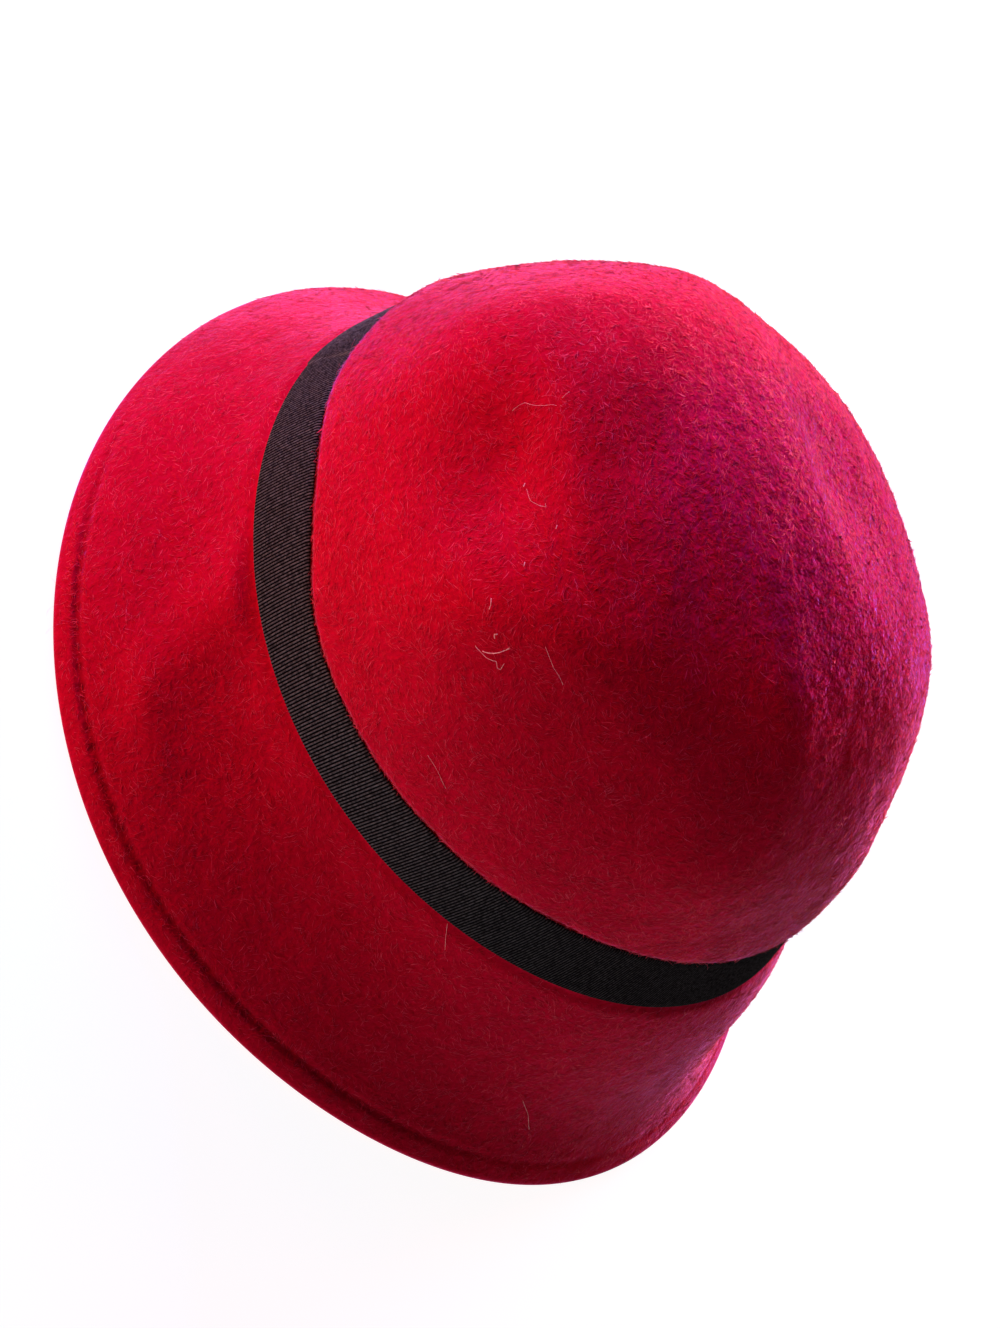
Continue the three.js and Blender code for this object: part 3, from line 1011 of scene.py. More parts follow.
@dataclass
class FeltBody:
    """Crown, brim and hem in one piece of felt, hollow, with the lumps that matting leaves in it."""

    form: HatForm
    finish: FeltFinish = field(default_factory=FeltFinish)
    columns: int = 600
    hem_step: float = 0.75
    hem_rows: int = 12
    brim_rows: int = 25
    draw_rows: int = 8
    under_rows: int = 6
    lip_rows: int = 15
    lip: float = 10.0
    crease: float = 1.2
    crease_at: float = 1.0
    crease_half: float = 1.1
    crown_rows: int = 46
    inner_rows: int = 26
    fold_rows: int = 9
    wave_size: float = 0.030
    wave: float = 0.0007
    lump_size: float = 0.007
    lump: float = 0.00035
    stitches: int = 150
    hem_rise: tuple[float, float] = (0.05, 0.13)
    hem_fade: tuple[float, float] = (0.29, 0.40)
    hem_at_back: float = 0.1
    hem_at_front: float = 0.35
    fold_nap: tuple[float, ...] = (0.2, 0.6)
    band_nap: float = 0.3
    lip_nap: tuple[float, ...] = (0.0, 0.1, 0.25, 0.5)
    inner_nap: float = 0.5
    under_stop: float = 0.8
    lip_crowding: float = 1.5
    lip_marked: tuple[int, int] = (3, 7)
    # rows over which the painted shade of the crease fades out
    painted_crease_shade_rows: tuple[float, float] = (2.2, 4.4)
    tuft_rows: tuple[float, float] = (38.0, 48.0)
    groove_rows: float = 2.9
    hem_gap: float = 1.2
    hem_shares: tuple[float, ...] = (1.0, 0.9, 0.5, 0.15)
    hem_fill: tuple[float, ...] = (0.85, 1.0, 1.0, 1.0)
    bend: float = 2.6
    bend_ends: tuple[tuple[float, float], ...] = ((0.18, 0.42), (1.0, 0.88))
    bend_half: float = 13.5
    bend_from: tuple[float, float] = (230.5, 0.9)
    bend_to: tuple[float, float] = (242.0, 0.3)

    def azimuths(self) -> np.ndarray:
        """Directions of the columns."""
        return np.arange(self.columns) * math.tau / self.columns

    def outer_rows(self, brim: Skin, crown: Skin) -> tuple[np.ndarray, np.ndarray, np.ndarray]:
        """Rows of the outside from the hem's fold to the tip.

        Args:
            brim: the brim's skin.
            crown: the crown's skin.

        Returns:
            Points, the share of nap in each row, and the row of the hem's groove.
        """
        hem = np.arange(self.hem_rows) * self.hem_step
        near = brim.total - 2.0 * self.form.ease
        share = np.linspace(0.0, 1.0, self.brim_rows + 2)[1:-1, None]
        plain = hem[-1] + (near - hem[-1]) * share
        draw = brim.total - 2.0 * self.form.ease * (1.0 - np.arange(self.draw_rows)[:, None] / self.draw_rows)
        low = np.vstack([np.repeat(hem[:, None], self.columns, 1), plain, draw])
        width = self.form.ribbon_width
        under = np.linspace(0.0, width - self.under_stop, self.under_rows)
        lip = width + self.lip * np.linspace(0.0, 1.0, self.lip_rows) ** self.lip_crowding
        held = np.repeat(np.r_[under, lip][:, None], self.columns, 1)
        rise = np.linspace(0.0, 1.0, self.crown_rows + 1)[1:, None]
        high = width + self.lip + (crown.total - width - self.lip) * rise
        upper, out = self.form.crown_felt(crown, np.vstack([held, high]))
        past = (np.vstack([held, high]) - width - self.crease_at) / self.crease_half
        upper = upper - out * (self.crease * np.exp(-past * past))[..., None]
        to_front = np.abs(self.azimuths() / math.tau - 0.5)
        hem_shown = 1.0 - (1.0 - self.hem_at_front) * smooth_step(*self.hem_fade, to_front)
        hem_shown *= self.hem_at_back + (1.0 - self.hem_at_back) * smooth_step(*self.hem_rise, to_front)
        lower, away = self.form.brim_felt(brim, low)
        lift = self.form.hem_depth_at(low) * (1.0 - hem_shown)[None] + self.bend_lift(low / brim.total)
        lower = lower + away * lift[..., None]
        points = np.vstack([lower, upper])
        nap = np.r_[np.ones(len(low)), np.zeros(self.under_rows), np.ones(self.lip_rows + self.crown_rows)]
        nap[:len(self.fold_nap)] = self.fold_nap
        nap[len(low) - 1] = self.band_nap
        free = len(low) + self.under_rows
        nap[free:free + len(self.lip_nap)] = self.lip_nap
        return points, nap, np.argmin(np.abs(hem - self.form.hem_depth))

    def bend_lift(self, share: np.ndarray) -> np.ndarray:
        """How far the soft bend that runs across the brim lifts the felt.

        Args:
            share: rows x columns, way up the brim from 0 at the fold to 1 at the ribbon.

        Returns:
            One lift for each place.
        """
        high, low = self.bend_from, self.bend_to
        line = high[0] + (low[0] - high[0]) * (high[1] - share) / (high[1] - low[1])
        off = np.radians(np.degrees(self.azimuths())[None] - line) * self.form.half_length / self.bend_half
        rise, fall = (smooth_step(*span, share) for span in self.bend_ends)
        return self.bend * np.exp(-off * off) * (rise * fall)

    def inner_skin(self, brim: Skin, crown: Skin) -> np.ndarray:
        """Rows of the inside from the tip down to the hem.

        Args:
            brim: the brim's skin.
            crown: the crown's skin.

        Returns:
            Points, rows x columns x 3.
        """
        down = crown.total * np.linspace(1.0, 0.0, self.inner_rows)[:, None]
        points, normals = self.form.crown_felt(crown, down)
        upper = points - normals * self.form.felt
        bottom = self.form.hem_depth + self.hem_gap
        top = brim.total - 2.0 * self.form.ease
        down = bottom + (top - bottom) * np.linspace(1.0, 0.0, self.inner_rows // 2)[:, None]
        points, normals = self.form.brim_felt(brim, down)
        middle = points - normals * self.form.felt
        hem = np.repeat(np.array(self.hem_shares)[:, None] * self.form.hem_depth, self.columns, 1)
        points, normals = self.form.brim_felt(brim, hem)
        thick = 2.0 * self.form.fold_radius * np.array(self.hem_fill)[:, None, None]
        return np.vstack([upper, middle, points - normals * thick])

    def fold(self, brim: Skin, azimuth: np.ndarray) -> np.ndarray:
        """Rows of the round fold at the edge, flat where it rests.

        Args:
            brim: the brim's skin.
            azimuth: directions of the columns.

        Returns:
            Points, rows x columns x 3.
        """
        flare = np.radians(self.form.measure("edge_flare", azimuth))
        level = self.form.level_outward(azimuth)
        radius = self.form.fold_radius
        normal = level * np.cos(flare)[:, None] + UP * np.sin(flare)[:, None]
        centre = brim.points[0] - normal * radius
        turn = flare[None] - math.pi * np.linspace(1.0, 0.0, self.fold_rows + 1)[:-1, None]
        around = level[None] * np.cos(turn)[..., None] + UP * np.sin(turn)[..., None]
        points = centre[None] + radius * around
        points[..., 2] = np.maximum(points[..., 2], 0.0)
        return points

    def build(self) -> bpy.types.Object:
        """Models the felt and dresses it.

        Returns:
            The felt body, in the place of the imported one.
        """
        azimuth = self.azimuths()
        brim, crown = self.form.brim_skin(azimuth), self.form.crown_skin(azimuth)
        outer, nap, groove_row = self.outer_rows(brim, crown)
        inner, fold = self.inner_skin(brim, crown), self.fold(brim, azimuth)
        points = np.vstack([inner, fold, outer])
        turned_under = len(self.hem_shares)
        inside = np.full(len(inner) - turned_under, self.inner_nap)
        share = np.r_[inside, np.zeros(turned_under + len(fold)), nap]
        obj = wrapped_grid("felt_body", points)
        rows = grid_places(obj, *points.shape[:2])[0]
        group = obj.vertex_groups.new(name="nap")
        for weight in np.unique(share):
            group.add(np.flatnonzero(share[rows] == weight).tolist(), float(weight), "REPLACE")
        lip_row = len(points) - self.crown_rows - self.lip_rows
        first, last = self.lip_marked
        over = np.flatnonzero((rows >= lip_row + first) & (rows <= lip_row + last))
        obj.vertex_groups.new(name="lip").add(over.tolist(), 1.0, "REPLACE")
        close_and_turn_out(obj)
        self.mat_lumps(obj, "wave", self.wave_size, self.wave)
        self.mat_lumps(obj, "lump", self.lump_size, self.lump)
        spans = len(points) - 1
        groove = (len(inner) + len(fold) + groove_row) / spans
        # spans of the crease's painted shade and of the tufts, on the map's second axis
        crease, tufts = (((lip_row + low) / spans, (lip_row + high) / spans)
                         for low, high in (self.painted_crease_shade_rows, self.tuft_rows))
        material = self.finish.material(self.stitches, groove, self.groove_rows / spans, crease,
                                        self.hem_rise, self.hem_fade, tufts)
        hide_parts("hat_body")
        return dress(obj, material)

    def mat_lumps(self, obj: bpy.types.Object, name: str, size: float, depth: float) -> None:
        """Presses lumps into the felt where it is free.

        Args:
            obj: the felt.
            name: the lumps' name.
            size: their size in metres.
            depth: their full height in metres.
        """
        clouds = bpy.data.textures.new(f"felt_{name}", "CLOUDS")
        clouds.noise_scale = size
        clouds.noise_depth = 2
        select_only(obj)
        bpy.ops.object.modifier_add(type="DISPLACE")
        press = obj.modifiers[-1]
        press.name = name
        press.texture = clouds
        press.texture_coords = "LOCAL"
        press.strength = depth
        press.mid_level = 0.5
        press.vertex_group = "nap"
        bpy.ops.object.modifier_apply(modifier=name)


@dataclass(frozen=True)
class NapLayer:
    """A layer of the nap, by the zone it covers, how many fibres it has and their dye."""

    zone: Zone
    count: int
    finish: NapFinish


@dataclass
class Nap:
    """Loose fibres that stand a little off the felt and lie together in locks and tufts."""

    felt: bpy.types.Object
    form: HatForm
    dyed: NapFinish = NapFinish()
    pale: NapFinish = NapFinish((0.86, 0.045, 0.09), (1.0, 0.30, 0.42), 0.6, "pale_wool_fibre")
    counts: tuple[tuple[Zone, int, int], ...] = (
        (Zone.CROWN, 47000, 0), (Zone.CROWN, 24000, 21000), (Zone.BRIM, 31000, 15000), (Zone.LIP, 6500, 0))
    length: tuple[float, float] = (0.0011, 0.0026)
    width: tuple[float, float] = (0.00006, 0.00011)
    crest: float = 0.15
    keel_along: float = 0.3
    keel_depth: float = 0.3
    bow: float = 0.12
    lift: float = 6.5
    least_lift: float = 1.0
    lift_shares: tuple[float, float] = (0.8, 0.95)
    free_weight: float = 0.55
    rough_least: float = 0.15
    rough_span: tuple[float, float] = (0.4, 0.75)
    lock_turn: tuple[float, float] = (0.5, 0.6)
    tuft_turn: float = 1.15
    scatter: float = 0.5
    lip_scatter: float = 0.6
    lip_lift: float = 2.0
    locks: tuple[tuple[float, float, float], ...] = ((310.0, -190.0, 240.0), (-130.0, 260.0, 410.0))
    lock_phases: tuple[float, ...] = (1.0, 0.0)
    tufts: tuple[tuple[float, float, float], ...] = (
        (1500.0, 900.0, -700.0), (-800.0, 1400.0, 1100.0), (600.0, -1200.0, 1500.0))
    seed: int = 41

    def layers(self) -> list[NapLayer]:
        """The layers with any fibres in them."""
        both = [NapLayer(zone, count, finish) for zone, *counts in self.counts
                for count, finish in zip(counts, (self.dyed, self.pale))]
        return [layer for layer in both if layer.count]

    def ground(self, group: str = "nap") -> tuple[np.ndarray, np.ndarray]:
        """Triangles of the felt that carry a nap.

        Args:
            group: the vertex group that marks them.

        Returns:
            Corner places and corner directions, triangles x 3 x 3.
        """
        mesh = self.felt.data
        mesh.calc_loop_triangles()
        count = len(mesh.vertices)
        places = np.empty(3 * count, dtype=np.float32)
        mesh.vertices.foreach_get("co", places)
        out = np.empty(3 * count, dtype=np.float32)
        mesh.vertices.foreach_get("normal", out)
        corners = np.empty(3 * len(mesh.loop_triangles), dtype=np.int32)
        mesh.loop_triangles.foreach_get("vertices", corners)
        corners = corners.reshape(-1, 3)
        mark = self.felt.vertex_groups[group].index
        weight = np.array([sum(g.weight for g in v.groups if g.group == mark) for v in mesh.vertices])
        free = np.all(weight[corners] > self.free_weight, axis=1)
        return places.reshape(-1, 3)[corners[free]], out.reshape(-1, 3)[corners[free]]

    def zone_of(self, middles: np.ndarray) -> np.ndarray:
        """Which triangles lie on the crown.

        Args:
            middles: their middles in metres.

        Returns:
            True for the crown, False for the brim.
        """
        azimuth = np.arctan2(middles[:, 0] / self.form.half_width,
                             -(middles[:, 1] - self.form.shift_back() * MM) / self.form.half_length)
        return middles[:, 2] > self.form.measure("band_edge", azimuth) * MM

    def roots(self, places: np.ndarray, out: np.ndarray, count: int,
              rng: np.random.Generator) -> tuple[np.ndarray, np.ndarray]:
        """Picks places at random over triangles.

        Args:
            places: corner places, triangles x 3 x 3.
            out: corner directions.
            count: how many.
            rng: where the chances come from.

        Returns:
            Places and outward directions.
        """
        area = np.linalg.norm(np.cross(places[:, 1] - places[:, 0], places[:, 2] - places[:, 0]), axis=1)
        pick = rng.choice(len(area), count, p=area / area.sum())
        share = rng.dirichlet((1.0, 1.0, 1.0), count)[..., None]
        return np.sum(places[pick] * share, axis=1), unit(np.sum(out[pick] * share, axis=1))

    def lay(self, places: np.ndarray, out: np.ndarray, layer: NapLayer,
            rng: np.random.Generator) -> tuple[np.ndarray, np.ndarray, np.ndarray]:
        """Lays fibres at random over triangles, in locks that turn slowly, or down over the ribbon.

        Args:
            places: corner places, triangles x 3 x 3.
            out: corner directions.
            layer: how many fibres, and where.
            rng: where the chances come from.

        Returns:
            Points and faces of the fibres, and the directions that the points are shaded by.
        """
        count = layer.count
        root, normal = self.roots(places, out, count, rng)
        waves = sum(np.sin(root @ np.array(k) + phase) for k, phase in zip(self.locks, self.lock_phases))
        tufts = sum(np.sin(root @ np.array(k) + 2.0 * waves) for k in self.tufts) / len(self.tufts)
        rough = self.rough_least + smooth_step(*self.rough_span, normal[:, 2])
        (turn, more_turn), (stand, more_stand) = self.lock_turn, self.lift_shares
        angle = (turn + more_turn * rough) * waves + self.tuft_turn * rough * tufts
        angle = angle + rng.normal(0.0, self.scatter, count)
        stand = stand + more_stand * rough * np.clip(tufts, 0.0, 1.0)
        lift = np.abs(rng.normal(0.0, self.lift, count)) * stand + self.least_lift
        if layer.zone is Zone.LIP:
            angle, lift = rng.normal(-0.5 * math.pi, self.lip_scatter, count), self.lip_lift * lift
        lie = lie_along(normal, angle)
        lift = np.radians(lift)[:, None]
        axis = lie * np.cos(lift) + normal * np.sin(lift)
        side = np.cross(normal, lie)
        length = rng.uniform(*self.length, count)[:, None]
        width = rng.uniform(*self.width, count)[:, None]
        bow = side * rng.normal(0.0, self.bow, count)[:, None]
        corners = np.stack([
            root + 0.5 * width * side + self.crest * width * normal,
            root - 0.5 * width * side + self.crest * width * normal,
            root + self.keel_along * length * lie - self.keel_depth * width * normal,
            root + length * (axis + bow),
        ], axis=1)
        facing = unit(normal - lie * np.sin(lift) * rough[:, None])
        shape = np.array(((0, 2, 1), (0, 1, 3), (1, 2, 3), (2, 0, 3)))
        faces = shape[None] + 4 * np.arange(count)[:, None, None]
        return corners.reshape(-1, 3), faces.reshape(-1, 3), np.repeat(facing, 4, axis=0)

    def build(self) -> list[bpy.types.Object]:
        """Lays the nap of crown and brim.

        Returns:
            The nap's pieces.
        """
        places, out = self.ground()
        on_crown = self.zone_of(places.mean(axis=1))
        grounds = {Zone.CROWN: (places[on_crown], out[on_crown]),
                   Zone.BRIM: (places[~on_crown], out[~on_crown]),
                   Zone.LIP: self.ground("lip")}
        dyes = {finish: finish.material() for finish in (self.dyed, self.pale)}
        rng = np.random.default_rng(self.seed)
        made = []
        for number, layer in enumerate(self.layers(), start=1):
            points, faces, facing = self.lay(*grounds[layer.zone], layer, rng)
            points[:, 2] = np.maximum(points[:, 2], 0.0)
            obj = mesh_from_arrays(f"{layer.zone.value}_nap_{number}", points, faces, facing)
            made.append(dress(obj, dyes[layer.finish]))
        return made


@dataclass
class StrayHairs:
    """Longer, paler hairs that have worked loose from the felt and stand off it."""

    nap: Nap
    finish: NapFinish = NapFinish((0.88, 0.10, 0.17), name="wool_hair")
    count: int = 2600
    length: tuple[float, float] = (0.002, 0.0062)
    radius: float = 0.000026
    lift: float = 16.0
    least_lift: float = 2.0
    settling: float = 0.7
    curl: float = 0.55
    tip_share: float = 0.45
    sides: tuple[float, ...] = (0.5, 2.6, 4.7)
    steps: int = 5
    seed: int = 77

    def build(self) -> bpy.types.Object:
        """Lays the hairs over crown and brim.

        Returns:
            The hairs as one piece.
        """
        rng = np.random.default_rng(self.seed)
        root, normal = self.nap.roots(*self.nap.ground(), self.count, rng)
        turn = rng.uniform(0.0, math.tau, self.count)
        bend = rng.normal(0.0, self.curl, self.count)
        lift = np.radians(np.abs(rng.normal(0.0, self.lift, self.count)) + self.least_lift)
        step = rng.uniform(*self.length, self.count) / (self.steps - 1)
        place, spine = root.copy(), []
        for _ in range(self.steps):
            spine.append(place.copy())
            lie = lie_along(normal, turn)
            place = place + (lie * np.cos(lift)[:, None] + normal * np.sin(lift)[:, None]) * step[:, None]
            turn, lift = turn + bend, self.settling * lift
        line = np.stack(spine, axis=1)
        side = unit(np.cross(normal[:, None], np.gradient(line, axis=1)))
        up = np.broadcast_to(normal[:, None], line.shape)
        slim = self.radius * np.linspace(1.0, self.tip_share, self.steps)[None, :, None]
        rings = [line + slim * (side * math.cos(k) + up * math.sin(k)) for k in self.sides]
        points = np.stack(rings, axis=2).reshape(-1, 3)
        points[:, 2] = np.maximum(points[:, 2], 0.0)
        shape = [(0, 2, 1), (3 * self.steps - 3, 3 * self.steps - 2, 3 * self.steps - 1)]
        for ring in range(0, 3 * self.steps - 3, 3):
            for k in range(3):
                here, beside = ring + k, ring + (k + 1) % 3
                shape += [(here, beside, here + 3), (beside, beside + 3, here + 3)]
        faces = np.array(shape)[None] + 3 * self.steps * np.arange(self.count)[:, None, None]
        obj = mesh_from_arrays("stray_hairs", points, faces.reshape(-1, 3))
        return dress(obj, self.finish.material())


@dataclass
class RibbonBand:
    """Ribbon with ribs straight across it, stretched round the foot of the crown and lapped at the back."""

    form: HatForm
    finish: RibbonFinish = field(default_factory=RibbonFinish)
    ribs: int = 686
    per_rib: int = 4
    rib_height: float = 0.30
    across: tuple[float, ...] = (0.0, 0.25, 0.9, 3.0, 6.0, 9.0, 12.0, 15.0, 18.0, 21.0, 23.1, 23.75, 24.0)
    lap_end: float = 189.6
    lap_slant: float = -3.9
    lap_length: float = 9.0
    lap_lift: float = 0.32
    lap_highlight_width: float = 0.085
    rib_roundness: float = 0.8
    rib_middle: float = 0.75
    edge_round: tuple[float, float] = (-0.05, 0.7)
    edge_thickness: float = 0.45

    def behind_end(self, azimuth: np.ndarray, above: np.ndarray) -> np.ndarray:
        """How far places lie behind the slanting end of the lap.

        Args:
            azimuth: directions of the columns in radians.
            above: distances above the lower edge.

        Returns:
            Degrees, rows x columns.
        """
        end = self.lap_end + self.lap_slant * (0.5 - above[:, None] / self.form.ribbon_width)
        return end - np.degrees(azimuth)[None]

    def lap(self, back: np.ndarray) -> np.ndarray:
        """Height of the lapped end over the ribbon, from how far places lie behind it."""
        rise = smooth_step(-0.12, 0.08, back)
        return self.lap_lift * rise * (1.0 - smooth_step(0.5, self.lap_length, back))

    def build(self, felt: bpy.types.Object) -> bpy.types.Object:
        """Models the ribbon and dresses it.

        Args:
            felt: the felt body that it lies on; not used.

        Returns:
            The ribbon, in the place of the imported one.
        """
        columns = self.ribs * self.per_rib
        azimuth = self.even_azimuths(columns)
        skin = self.form.crown_skin(azimuth)
        above = np.array(self.across)
        points, normals = self.form.crown_felt(skin, np.repeat(above[:, None], columns, 1))
        phase = np.arange(columns) % self.per_rib / self.per_rib
        rib = self.rib_height * (np.sin(math.pi * phase) ** self.rib_roundness - self.rib_middle)
        edge = np.minimum(above, self.form.ribbon_width - above)
        round_off = smooth_step(*self.edge_round, edge)[:, None]
        swelling = self.edge_thickness + (1.0 - self.edge_thickness) * round_off
        height = self.form.ribbon_gap + self.form.ribbon_thickness * swelling
        back = self.behind_end(azimuth, above)
        height = height + rib[None] * (0.5 + 0.5 * round_off) + self.lap(back)
        outer = points + normals * height[..., None]
        inner = points + normals * self.form.ribbon_gap
        loop = np.vstack([inner[::-4][:-1], inner[:1], outer, inner[-1:]])
        obj = wrapped_grid("ribbon", loop)
        # painted highlight: marks a thin stripe at the lap's cut end for the finish to lighten
        worn = np.zeros(loop.shape[:2], dtype=np.float32)
        first = len(loop) - 1 - len(outer)
        worn[first:-1] = np.exp(-((back / self.lap_highlight_width) ** 2))
        row, column = grid_places(obj, *loop.shape[:2])
        ends = obj.data.attributes.new(LAP, "FLOAT", "POINT")
        ends.data.foreach_set("value", worn[row, column])
        close_and_turn_out(obj)
        dress(obj, self.finish.material(self.ribs))
        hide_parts("ribbon_band")
        return obj

    def even_azimuths(self, columns: int) -> np.ndarray:
        """Directions at even distances along the ribbon's lower edge.

        Args:
            columns: how many.

        Returns:
            Directions in radians.
        """
        fine = np.linspace(0.0, math.tau, 4001)
        edge = self.form.oval(fine)
        run = np.r_[0.0, np.cumsum(np.linalg.norm(np.diff(edge, axis=0), axis=1))]
        return np.interp(np.arange(columns) * run[-1] / columns, run, fine)


@dataclass
class HemStitches:
    """Row of machine stitches sunk in the groove of the hem."""

    form: HatForm
    finish: ThreadFinish = ThreadFinish((0.34, 0.002, 0.009), (0.50, 0.003, 0.014), "hem_thread")
    count: int = 150
    fill: float = 0.58
    thickness: float = 0.5
    sink: float = 0.08
    dip: float = 0.55
    fine: int = 12

    def one_stitch(self) -> tuple[np.ndarray, np.ndarray]:
        """Models one stitch, a short thread that dips at both ends.

        Returns:
            Its points, for a stitch of length 1 and radius 1, and its faces.
        """
        deselect_all()
        bpy.ops.mesh.primitive_cylinder_add(vertices=6, radius=1.0, depth=1.0, end_fill_type="TRIFAN")
        pattern = bpy.context.object
        bpy.ops.object.mode_set(mode="EDIT")
        bpy.ops.mesh.select_all(action="SELECT")
        bpy.ops.transform.rotate(value=math.pi / 2, orient_axis="Y", center_override=(0.0, 0.0, 0.0))
        bpy.ops.mesh.select_all(action="DESELECT")
        bpy.ops.mesh.select_mode(type="EDGE")
        bpy.ops.object.mode_set(mode="OBJECT")
        places = [v.co.copy() for v in pattern.data.vertices]
        for edge in pattern.data.edges:
            first, last = (places[i] for i in edge.vertices)
            edge.select = abs(first.x - last.x) > 0.5
        bpy.ops.object.mode_set(mode="EDIT")
        bpy.ops.mesh.subdivide(number_cuts=5)
        bpy.ops.mesh.select_all(action="SELECT")
        bpy.ops.mesh.quads_convert_to_tris()
        bpy.ops.mesh.normals_make_consistent(inside=False)
        bpy.ops.object.mode_set(mode="OBJECT")
        points = np.array([v.co for v in pattern.data.vertices])
        faces = np.array([tuple(p.vertices) for p in pattern.data.polygons])
        bpy.data.objects.remove(pattern)
        return points, faces

    def build(self) -> bpy.types.Object:
        """Sets the stitches out along the groove.

        Returns:
            The stitches as one piece.
        """
        pattern, shape = self.one_stitch()
        fine = self.count * self.fine
        azimuth = np.arange(fine) * math.tau / fine
        brim = self.form.brim_skin(azimuth)
        line, normals = self.form.brim_felt(brim, np.full((1, fine), self.form.hem_depth))
        line, normals = line[0], normals[0]
        taper = np.sqrt(np.clip(1.0 - (2.0 * np.abs(pattern[:, 0])) ** 4, 0.05, 1.0))
        dip = (2.0 * np.abs(pattern[:, 0])) ** 2.5
        points = []
        for number in range(self.count):
            place = (number + pattern[:, 0] * self.fill) * self.fine
            low = np.floor(place).astype(int)
            share = (place - low)[:, None]
            spot = line[low % fine] * (1.0 - share) + line[(low + 1) % fine] * share
            out = unit(normals[low % fine])
            along = unit(line[(low + 1) % fine] - line[low % fine])
            side = np.cross(out, along)
            radius = 0.5 * self.thickness * taper
            rise = (radius * pattern[:, 2] - self.sink - self.dip * dip)[:, None]
            points.append(spot + out * rise + side * (radius * pattern[:, 1])[:, None])
        faces = shape[None] + len(pattern) * np.arange(self.count)[:, None, None]
        obj = mesh_from_arrays("hem_stitches", np.vstack(points) * MM, faces.reshape(-1, 3))
        return dress(obj, self.finish.material())


@dataclass(frozen=True)
class LintThread:
    """One loose thread, by the places it passes over and its radius.

    Attributes:
        radius: in millimetres.
        route: azimuth in degrees, and millimetres above the ribbon's lower edge or from the hem's fold.
        zone: what it lies on.
    """

    radius: float
    route: tuple[tuple[float, float], ...]
    zone: Zone = Zone.CROWN


@dataclass
class Lint:
    """Pale threads and hairs that cling to the felt."""

    form: HatForm
    finish: ThreadFinish = ThreadFinish((0.94, 0.40, 0.40), (1.0, 0.72, 0.68), "pale_lint")
    seed: int = 5
    lift: float = 0.4
    wander: float = 0.15
    columns: int = 64
    threads: tuple[LintThread, ...] = (
        LintThread(0.10, ((251.5, 67.3), (251.9, 68.1), (252.3, 69.3), (252.5, 70.8), (252.5, 72.1),
                          (252.4, 73.2))),
        LintThread(0.06, ((250.4, 66.2), (251.5, 66.8), (252.5, 67.3), (253.2, 68.3), (253.5, 69.0),
                          (254.5, 68.4), (254.8, 68.9), (254.2, 70.4))),
        LintThread(0.13, ((250.3, 71.1), (249.8, 71.5), (249.9, 72.1))),
        LintThread(0.08, ((244.7, 73.6), (245.5, 73.2), (246.1, 72.5))),
        LintThread(0.035, ((254.2, 80.4), (256.0, 80.0), (257.7, 79.6), (259.2, 79.6), (260.7, 79.2))),
        LintThread(0.09, ((240.4, 82.8), (240.7, 82.6), (241.0, 82.4))),
        LintThread(0.03, ((211.0, 80.4), (210.2, 81.6), (209.5, 83.2), (210.0, 85.2), (210.1, 88.0),
                          (209.8, 90.0), (209.8, 91.6))),
        LintThread(0.035, ((208.2, 91.6), (207.2, 92.3), (206.5, 92.8))),
        LintThread(0.11, ((226.0, 84.4), (225.6, 84.6), (225.2, 84.8))),
        LintThread(0.03, ((226.5, 85.2), (229.0, 86.0), (230.2, 88.0), (230.8, 89.6), (230.0, 89.6))),
        LintThread(0.09, ((234.7, 91.6), (235.0, 91.4), (235.3, 91.2))),
        LintThread(0.035, ((261.5, 42.0), (263.7, 41.6), (266.7, 40.0))),
        LintThread(0.04, ((320.0, 27.6), (322.7, 23.2), (324.7, 18.0)), Zone.BRIM),
        LintThread(0.04, ((286.7, 62.8), (288.2, 60.0), (290.0, 56.8)), Zone.BRIM),
    )

    def path(self, thread: LintThread, rng: np.random.Generator) -> np.ndarray:
        """Route of one thread over the felt.

        Args:
            thread: where it lies.
            rng: where its wander comes from.

        Returns:
            Points in millimetres.
        """
        stops = np.array(thread.route)
        count = 3 * len(stops) - 2
        ahead = np.linspace(0.0, len(stops) - 1.0, count)
        azimuth = np.radians(np.interp(ahead, np.arange(len(stops)), stops[:, 0]))
        far = np.interp(ahead, np.arange(len(stops)), stops[:, 1])
        everywhere = np.r_[azimuth, np.arange(self.columns) * math.tau / self.columns]
        order = np.argsort(everywhere, kind="stable")
        back = np.argsort(order)[:count]
        far = np.repeat(far[:, None], len(order), 1)
        if thread.zone is Zone.CROWN:
            points, normals = self.form.crown_felt(self.form.crown_skin(everywhere[order]), far)
        else:
            points, normals = self.form.brim_felt(self.form.brim_skin(everywhere[order]), far)
        spot, out = points[np.arange(count), back], normals[np.arange(count), back]
        height = self.lift + thread.radius + self.wander * np.abs(rng.normal(size=count))
        return spot + out * height[:, None]

    def build(self) -> bpy.types.Object:
        """Lays the threads as tubes.

        Returns:
            The threads as one piece.
        """
        rng = np.random.default_rng(self.seed)
        tubes = []
        for thread in self.threads:
            route = self.path(thread, rng)
            deselect_all()
            bpy.ops.curve.primitive_nurbs_path_add()
            tube = bpy.context.object
            spline = tube.data.splines[0]
            spline.points.add(len(route) - len(spline.points))
            for point, place in zip(spline.points, route):
                point.co = (*(place * MM), 1.0)
            spline.use_endpoint_u = True
            spline.order_u = 3
            spline.resolution_u = 2
            tube.data.bevel_depth = thread.radius * MM
            tube.data.bevel_resolution = 1
            tube.data.use_fill_caps = True
            bpy.ops.object.convert(target="MESH")
            tubes.append(bpy.context.object)
        select_only(*tubes)
        bpy.ops.object.join()
        obj = bpy.context.object
        obj.name = obj.data.name = "lint_threads"
        close_and_turn_out(obj)
        return dress(obj, self.finish.material())


# Stage


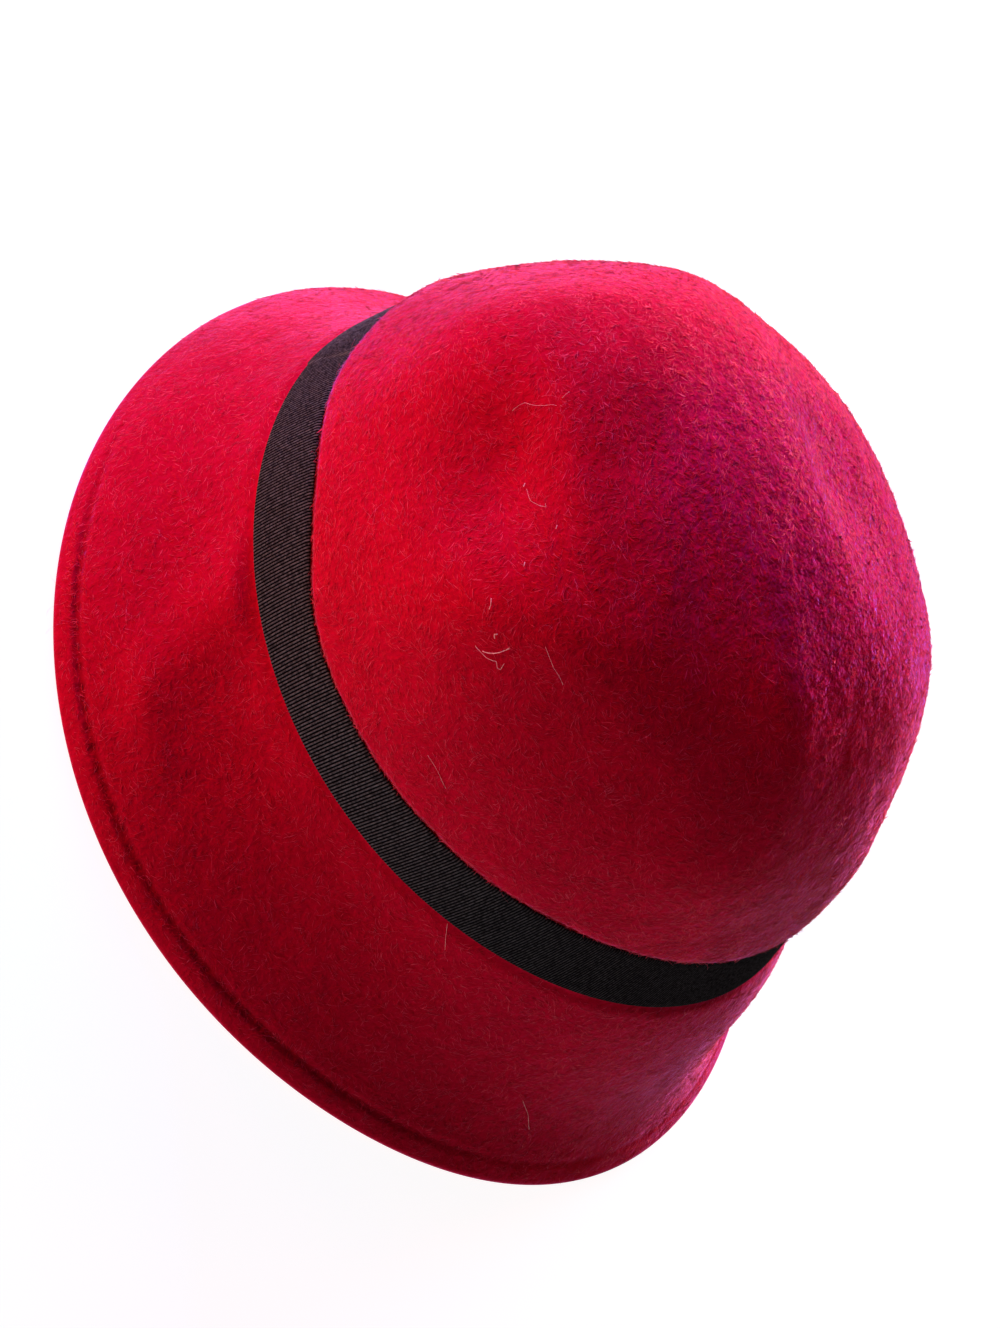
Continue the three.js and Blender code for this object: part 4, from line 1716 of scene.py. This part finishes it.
@dataclass(frozen=True)
class Softbox:
    """A soft light, by its bearing and height in degrees, its sides in metres, its power and its colour."""

    name: str
    azimuth: float
    elevation: float
    sides: tuple[float, float]
    power: float
    colour: tuple[float, float, float]


@dataclass
class Studio:
    """Pale floor, soft lights and the camera."""

    form: HatForm
    floor: FloorFinish = field(default_factory=FloorFinish)
    floor_half: float = 6.0
    air: tuple[float, float, float] = (0.97, 0.98, 1.0)
    air_strength: float = 0.03
    lights: tuple[Softbox, ...] = (
        Softbox("key_light", 174.0, 4.2, (0.42, 0.22), 22.0, (1.0, 0.23, 0.10)),
        Softbox("fill_light", 200.0, 3.6, (0.6, 0.3), 18.0, (1.0, 0.18, 0.10)),
        Softbox("rim_light", 87.0, 13.0, (1.0, 0.5), 91.0, (1.0, 0.42, 0.56)),
        Softbox("sky_light", 136.0, 24.0, (0.8, 0.5), 77.0, (0.02, 0.28, 1.0)),
        Softbox("warm_top_light", 95.0, 46.0, (0.8, 0.8), 11.0, (1.0, 0.12, 0.12)),
        Softbox("cool_top_light", 165.0, 50.0, (0.8, 0.8), 9.1, (0.29, 0.1, 1.0)),
    )
    light_distance: float = 2.2
    lit_height: float = 0.07
    image: tuple[int, int] = (1000, 1328)
    focal_pixels: float = 2600.0
    elevation: float = 45.40
    azimuth: float = -109.93
    roll: float = 71.76
    distance: float = 0.68318
    aim_height: float = 0.07162
    aim_shift: tuple[float, float] = (-0.00279, -0.02518)

    def lay_floor(self) -> None:
        """Lays the floor under the hat's rest."""
        deselect_all()
        bpy.ops.mesh.primitive_grid_add(x_subdivisions=4, y_subdivisions=4, size=2.0 * self.floor_half)
        paper = bpy.context.object
        paper.name = paper.data.name = "floor"
        paper.data.materials.append(self.floor.material())

    def hang_lights(self) -> None:
        """Hangs the lights and sets the even light of the room."""
        centre = Vector((0.0, 0.0, self.lit_height))
        for box in self.lights:
            data = bpy.data.lights.new(box.name, "AREA")
            data.shape = "RECTANGLE"
            data.size, data.size_y = box.sides
            data.energy = box.power
            data.color = box.colour
            lamp = bpy.data.objects.new(box.name, data)
            away = toward(box.azimuth, box.elevation)
            lamp.location = centre + away * self.light_distance
            lamp.rotation_mode = "QUATERNION"
            lamp.rotation_quaternion = away.to_track_quat("Z", "Y")
            bpy.context.scene.collection.objects.link(lamp)
        world = bpy.data.worlds.new("room")
        bpy.context.scene.world = world
        world.use_nodes = True
        even = world.node_tree.nodes["Background"]
        even.inputs["Color"].default_value = (*self.air, 1.0)
        even.inputs["Strength"].default_value = self.air_strength

    def set_camera(self) -> None:
        """Sets the camera at the photograph's angle."""
        roll = math.radians(self.roll)
        back = toward(self.azimuth, self.elevation)
        level = (-back).cross(Vector(UP)).normalized()
        rise = level.cross(-back)
        aim = Vector((0.0, self.form.shift_back() * MM, self.aim_height))
        aim += level * self.aim_shift[0] + rise * self.aim_shift[1]
        right = level * math.cos(roll) + rise * math.sin(roll)
        up = rise * math.cos(roll) - level * math.sin(roll)
        data = bpy.data.cameras.new("camera")
        data.sensor_width = 36.0
        data.lens = self.focal_pixels * data.sensor_width / max(self.image)
        camera = bpy.data.objects.new("camera", data)
        turned = Matrix((right, up, back)).transposed().to_4x4()
        turned.translation = aim + back * self.distance
        camera.matrix_world = turned
        bpy.context.scene.collection.objects.link(camera)
        bpy.context.scene.camera = camera
        bpy.context.scene.view_settings.view_transform = "Standard"

    def build(self) -> None:
        """Sets the stage."""
        self.lay_floor()
        self.hang_lights()
        self.set_camera()
        LOG.info("studio: %d lights", len(self.lights))


def main() -> None:
    """Builds the hat piece by piece on its stage."""
    logging.basicConfig(level=logging.INFO, format="%(name)s %(message)s")
    form = HatForm()
    Studio(form).build()
    felt = FeltBody(form).build()
    RibbonBand(form).build(felt)
    HemStitches(form).build()
    nap = Nap(felt, form)
    nap.build()
    StrayHairs(nap).build()
    Lint(form).build()


if __name__ == "__main__":
    main()
